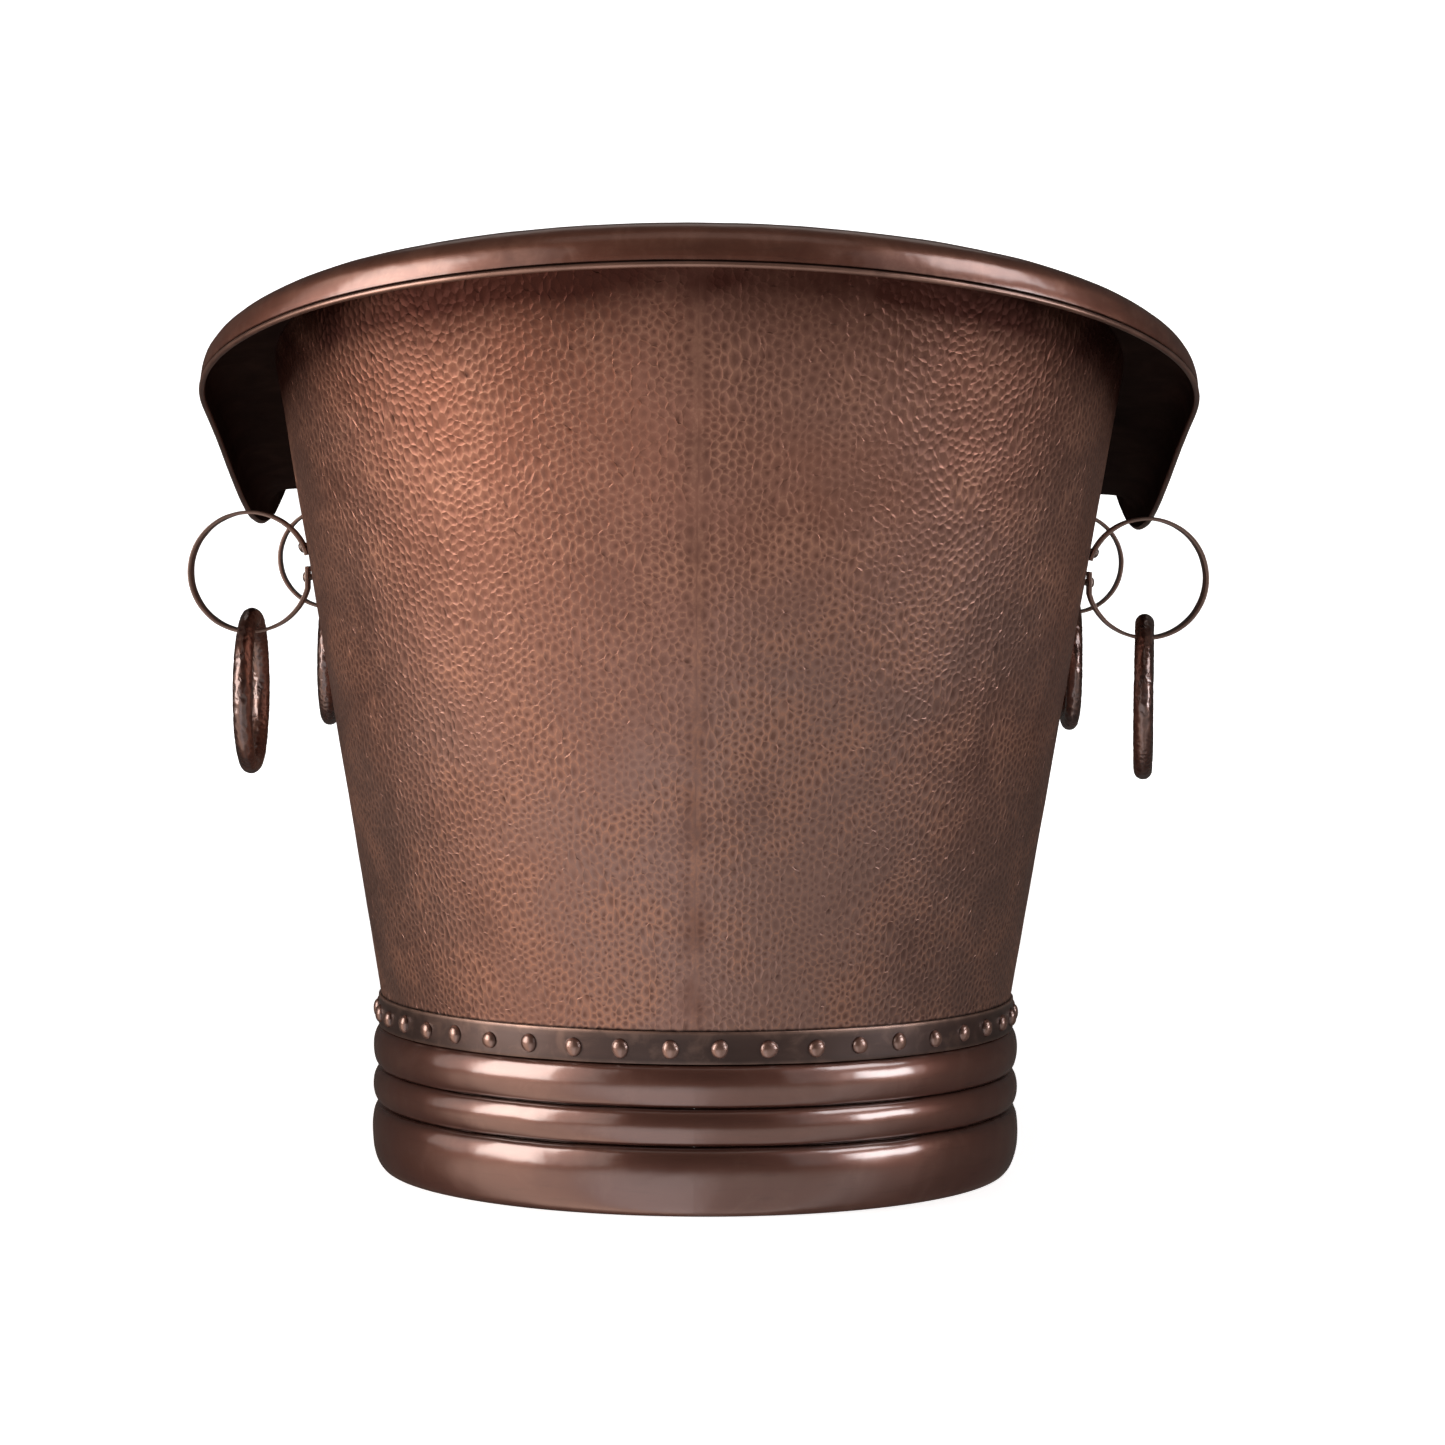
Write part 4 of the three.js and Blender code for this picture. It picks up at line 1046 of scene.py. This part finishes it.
def place_mesh(me, sx, x, y, z, turn=0.0):
    """Moves a mesh's vertices (built in millimetres, +X outwards) to its place on one side."""
    co = np.empty(len(me.vertices) * 3)
    me.vertices.foreach_get("co", co)
    co = co.reshape(-1, 3) / MM
    a = (0.0 if sx > 0 else math.pi) + math.radians(turn)
    ca, sa = math.cos(a), math.sin(a)
    out = np.stack([x + co[:, 0] * ca - co[:, 1] * sa, y + co[:, 0] * sa + co[:, 1] * ca, z + co[:, 2]], 1)
    me.vertices.foreach_set("co", (out * MM).ravel())
    bm = bmesh.new()
    bm.from_mesh(me)
    bmesh.ops.recalc_face_normals(bm, faces=bm.faces)
    bm.to_mesh(me)
    bm.free()
    me.polygons.foreach_set("use_smooth", np.ones(len(me.polygons), bool))
    me.set_sharp_from_angle(angle=math.radians(50))
    me.update()


def link_mesh(name, me):
    ob = bpy.data.objects.new(name, me)
    bpy.context.scene.collection.objects.link(ob)
    return ob


STRAP_RIVETS = [((-45.08, 21.5), 154.5, 3.4), ((-48.6, -4.0), 180.0, 4.2)]
for idx, (place, (sx, sy)) in enumerate(PLACES.items()):
    me = strap_mesh("strap_" + place, 61 + idx)
    place_mesh(me, sx, sx * BX, sy * BY, BZ)
    finish_piece(link_mesh("handle_strap_" + place, me), M_STRAP, "tub", ["bracket_" + place])
    for label, ((px, pz), adeg, shank) in zip(("top", "tab"), STRAP_RIVETS):
        c_, f3, f4, fn, at = rivet_mesh(4.5, 2.8, seed=200 + idx * 2 + (label == "top"), skirt=shank + 1.8)
        # shank: draw the skirt ring in to the shank's radius
        c_ = c_.copy()
        n_base = 22
        c_[-n_base:, 1:] *= 2.3 / 4.5
        c_[:, 0] += ST / 2 + 0.1
        a = math.radians(adeg - 180)
        ca, sa = math.cos(a), math.sin(a)
        p = np.stack([px + c_[:, 0] * ca, c_[:, 1], pz + c_[:, 0] * sa], 1)
        p[:, 0] += -c_[:, 2] * sa
        p[:, 2] += c_[:, 2] * ca
        me = bpy.data.meshes.new("r")
        me.from_pydata((p * MM).tolist(), [], [tuple(f) for f in f3 + f4 + fn])
        me.attributes.new("wear", "FLOAT", "POINT").data.foreach_set("value", at.astype(np.float32))
        me.attributes.new("grime_and_shade", "FLOAT", "POINT").data.foreach_set("value", ((1 - at) ** 3 * 0.6).astype(np.float32))
        place_mesh(me, sx, sx * BX, sy * BY, BZ)
        finish_piece(link_mesh(f"strap_rivet_{label}_{place}", me), M_STRAP, "tub",
                     [f"bracket_rivet_{label}_{place}"])
    # drop ring: hammered round bar bent into a ring
    nu, nv = 230, 44
    u = np.linspace(0, 2 * math.pi, nu + 1)[:-1]
    w = np.linspace(0, 2 * math.pi, nv + 1)[:-1]
    U, W = np.meshgrid(u, w, indexing="ij")
    r = np.random.default_rng(80 + idx)
    fat = 1 + 0.018 * np.sin(3 * U + idx) + 0.012 * np.sin(5 * U + 2 * idx)
    seat = np.clip((1 - np.cos(U)) / 0.05, 0, 1)         # the top of the ring sits in the strap
    co = np.stack([TUBE * np.cos(W) * fat, (RING_R + TUBE * np.sin(W) * fat) * np.sin(U),
                   (RING_R + TUBE * np.sin(W) * fat) * np.cos(U) - RING_R], -1).reshape(-1, 3)
    nr = np.stack([np.cos(W), np.sin(W) * np.sin(U), np.sin(W) * np.cos(U)], -1).reshape(-1, 3)
    seeds = r.permutation(len(co))[:620]
    tr = cell_tree(co[seeds])
    dm, tn = dimples(co, tr, 6.0)
    lift = -0.42 * (1 - dm ** 2) - 0.05 + wave(co, 16.0, 0.25, 90 + idx, 1) * 0.6
    lift = np.minimum(lift, 0.1)
    co = co + nr * lift[:, None]
    ob_me = mesh_object("drop_ring_" + place, co, [grid_faces(nu, nv, True, True)],
                        {"dimple": dm, "tone": tn, "amp": np.ones(len(co))}, None)
    place_mesh(ob_me.data, 1, sx * RX, sy * BY, RZ, RING_TURN[place])
    finish_piece(ob_me, M_RING, "handle_" + place, ["ring_" + place])

# ----------------------------------------------------------------------- drain
def turned(name, pts, seg, mat, body, nodes, on_axis=False, step=1.2):
    p = np.array(pts, float)
    u = np.linspace(0, 2 * math.pi, seg + 1)[:-1]
    m = len(p)
    co = np.stack([np.stack([r_ * np.cos(u), r_ * np.sin(u), np.full(seg, z_)], -1) for r_, z_ in p], 1)
    ob = mesh_object(name, co.reshape(-1, 3), [grid_faces(seg, m, True, not on_axis)],
                     {"wear": np.tile(np.exp(-((p[:, 1] - p[:, 1].max()) / 2.0) ** 2) * 0.6, seg),
                      "grime_and_shade": np.zeros(seg * m)}, 45, weld=0.001)
    return finish_piece(ob, mat, body, nodes)


cup = np.concatenate([open_profile([[21.8, 122.4], [27, 122.5], [34, 122.9], [35.9, 124.2], [34.6, 125.6], [29, 125.3], [24, 124.4], [20.6, 122.8], [19.2, 120.4]], 0.8),
                      [[19.2, 88], [21.8, 88]]])
turned("strainer_cup", cup, 72, M_DRAIN, "tub", ["drain_cup"])
plug = np.concatenate([[[0.0, 104], [3.2, 104], [3.2, 118]],
                       open_profile([[3.2, 118.2], [17.6, 119.6], [18.6, 122], [21.4, 125.0], [27.3, 126.5], [28.0, 127.4], [26.6, 128.7],
                                     [18, 131.2], [9, 132.6], [6.2, 133.6], [5.2, 135.2], [6.2, 137.6], [6.0, 139.6], [3.6, 140.9], [0, 141.2]], 0.9)])
turned("lift_plug", plug, 72, M_DRAIN, "plug", ["drain_plug"], on_axis=True)

# -------------------------------------------------- CAD pieces that stay as made
for node, mat in (("drain_nut", M_DRAIN), ("drain_tailpiece", M_DRAIN), ("drain_washer", M_RUBBER),
                  ("bearer_front", M_STEEL), ("bearer_rear", M_STEEL),
                  ("foot_skirt_left", M_BAND), ("foot_skirt_right", M_BAND)):
    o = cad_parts[node]
    if not o.material_slots:
        o.data.materials.append(mat)
    for s_ in o.material_slots:
        s_.material = mat

# ----------------------------------------------------------- camera and studio
cam_data = bpy.data.cameras.new("camera")
cam_data.sensor_width = 36.0
cam_data.lens = 4205.2 / 1445.0 * 36.0
cam = bpy.data.objects.new("camera", cam_data)
cam.location = (0.0108, -3.9388, 0.5884)
cam.rotation_euler = (Matrix.Rotation(-0.0029, 3, "Z") @ Matrix.Rotation(math.pi / 2 - 0.0553, 3, "X")
                      @ Matrix.Rotation(0.0072, 3, "Z")).to_euler()
cam_data.clip_end = 60
bpy.context.scene.collection.objects.link(cam)
bpy.context.scene.camera = cam


def area(name, azimuth, z0, z1, dist, width, radiance, colour, aim_y=-0.25):
    """Upright soft box: azimuth in degrees from the camera's side of the tub, positive to the right."""
    a = math.radians(azimuth)
    h = z1 - z0
    li = bpy.data.lights.new(name, "AREA")
    li.shape = "RECTANGLE"
    li.size, li.size_y = width, h
    li.energy = radiance * math.pi * width * h
    li.color = colour
    ob = bpy.data.objects.new(name, li)
    ob.location = (dist * math.sin(a), aim_y - dist * math.cos(a), (z0 + z1) / 2)
    ob.rotation_euler = (math.pi / 2, 0, a)
    ob.visible_camera = False
    bpy.context.scene.collection.objects.link(ob)
    return ob


WARM, COOL = (1.0, 0.95, 0.90), (0.95, 0.97, 1.0)
area("soft_left", -64, 0.0, 2.3, 2.5, 3.6, 0.60, WARM)
area("soft_left_core", -63, 0.0, 1.8, 2.2, 1.15, 4.2, WARM)
area("soft_right", 56, 0.1, 2.2, 2.5, 2.2, 0.24, COOL)
area("soft_right_low", 65, 0.20, 0.74, 2.2, 0.85, 6.0, COOL)
area("soft_right_high", 64, 1.30, 2.30, 2.2, 1.20, 3.4, COOL)
for name_, x_, y_ in (("over_front", 0.0, -1.6), ("over_rear", 0.0, 1.7)):
    li_ = bpy.data.lights.new(name_, "AREA")
    li_.shape = "RECTANGLE"
    li_.size, li_.size_y = 2.6, 1.2
    li_.energy = (0.20 if y_ < 0 else 0.36) * math.pi * 2.6 * 1.2
    li_.color = WARM
    ov = bpy.data.objects.new(name_, li_)
    ov.location = (x_, y_, 3.0)
    ov.rotation_euler = (Vector((0, 0, 0.6)) - ov.location).to_track_quat("-Z", "Y").to_euler()
    ov.visible_camera = False
    bpy.context.scene.collection.objects.link(ov)

world = bpy.data.worlds.new("studio")
bpy.context.scene.world = world
world.use_nodes = True
wt = world.node_tree
wt.nodes.clear()
g = N(wt)
out = g.node("ShaderNodeOutputWorld")
bgc, bgl = g.node("ShaderNodeBackground"), g.node("ShaderNodeBackground")
mixs = g.node("ShaderNodeMixShader")
lp = g.node("ShaderNodeLightPath")
tc = g.node("ShaderNodeTexCoord")
sep = g.node("ShaderNodeSeparateXYZ")
g.link(tc.outputs["Generated"], sep.inputs[0])
X_, Y_, Z_ = sep.outputs
flat_len = g.math("SQRT", g.math("MAXIMUM", g.math("ADD", g.math("MULTIPLY", X_, X_), g.math("MULTIPLY", Y_, Y_)), 1e-6))


def lobe(azimuth, wide, tight):
    """1 towards an azimuth, falling to 0 at wide degrees from it."""
    a_ = math.radians(azimuth)
    d_ = g.math("DIVIDE", g.math("ADD", g.math("MULTIPLY", X_, math.sin(a_)), g.math("MULTIPLY", Y_, -math.cos(a_))), flat_len)
    return g.ramp(d_, math.cos(math.radians(wide)), math.cos(math.radians(tight)))


below = g.ramp(Z_, -0.24, -0.03, 1.0, 0.0)
facing = g.ramp(Y_, -0.20, 0.62, 1.0, 0.04)
ground = g.mix(lobe(-84, 52, 10), (0.46, 0.445, 0.43), (0.92, 0.74, 0.62))
ground = g.mix(lobe(-135, 52, 12), ground, (0.10, 0.085, 0.075))
ground = g.mix(lobe(-17, 30, 8), ground, (0.80, 0.79, 0.79))
ground = g.mix(lobe(28, 30, 8), ground, (0.38, 0.36, 0.34))
ground = g.mix(lobe(115, 62, 12), ground, (0.090, 0.082, 0.076))
ground = g.mix(g.math("MULTIPLY", below, facing), (0.045, 0.040, 0.037), ground)
above = g.ramp(Z_, 0.55, 0.85, 0.0, 1.0)
ground = g.mix(above, ground, (0.115, 0.085, 0.070))
g.link(ground, bgl.inputs[0])
bgl.inputs[1].default_value = 1.0
bgc.inputs[0].default_value = (1, 1, 1, 1)
bgc.inputs[1].default_value = 1.0
g.link(lp.outputs["Is Camera Ray"], mixs.inputs[0])
g.link(bgl.outputs[0], mixs.inputs[1])
g.link(bgc.outputs[0], mixs.inputs[2])
g.link(mixs.outputs[0], out.inputs[0])

fm, fnt, fb = new_mat("pale_floor")
gg = N(fnt)
fb.inputs["Base Color"].default_value = (0.9, 0.9, 0.9, 1)
fb.inputs["Roughness"].default_value = 0.9
fb.inputs["Specular IOR Level"].default_value = 0.0
fb.inputs["Emission Color"].default_value = (1, 1, 1, 1)
# brighter away from the tub, so the floor runs out into the white surround
fsp = gg.node("ShaderNodeTexCoord")
fln = gg.node("ShaderNodeVectorMath", operation="LENGTH")
gg.link(fsp.outputs["Object"], fln.inputs[0])
gg.link(gg.ramp(fln.outputs["Value"], 1.9, 4.2, 0.72, 1.05), fb.inputs["Emission Strength"])
# floor that curves up into a backdrop far behind the tub
nx_, prof = 2, []
for y in (-9.0, -3.0, 0.0, 3.0, 5.0):
    prof.append((y, 0.0))
for a in np.linspace(0, math.pi / 2, 13)[1:]:
    prof.append((5.0 + 3.0 * math.sin(a), 3.0 - 3.0 * math.cos(a)))
prof.append((8.0, 9.0))
fv, ff = [], []
for i, (y, z) in enumerate(prof):
    fv += [(-12.0, y, z), (12.0, y, z)]
    if i:
        ff.append((2 * i - 2, 2 * i - 1, 2 * i + 1, 2 * i))
fme = bpy.data.meshes.new("floor")
fme.from_pydata(fv, [], ff)
fme.polygons.foreach_set("use_smooth", np.ones(len(ff), bool))
floor = bpy.data.objects.new("floor", fme)
floor.data.materials.append(fm)
bpy.context.scene.collection.objects.link(floor)
floor.visible_glossy = False
floor.visible_shadow = False

bpy.context.scene.view_settings.view_transform = "Standard"
bpy.context.scene.view_settings.look = "None"
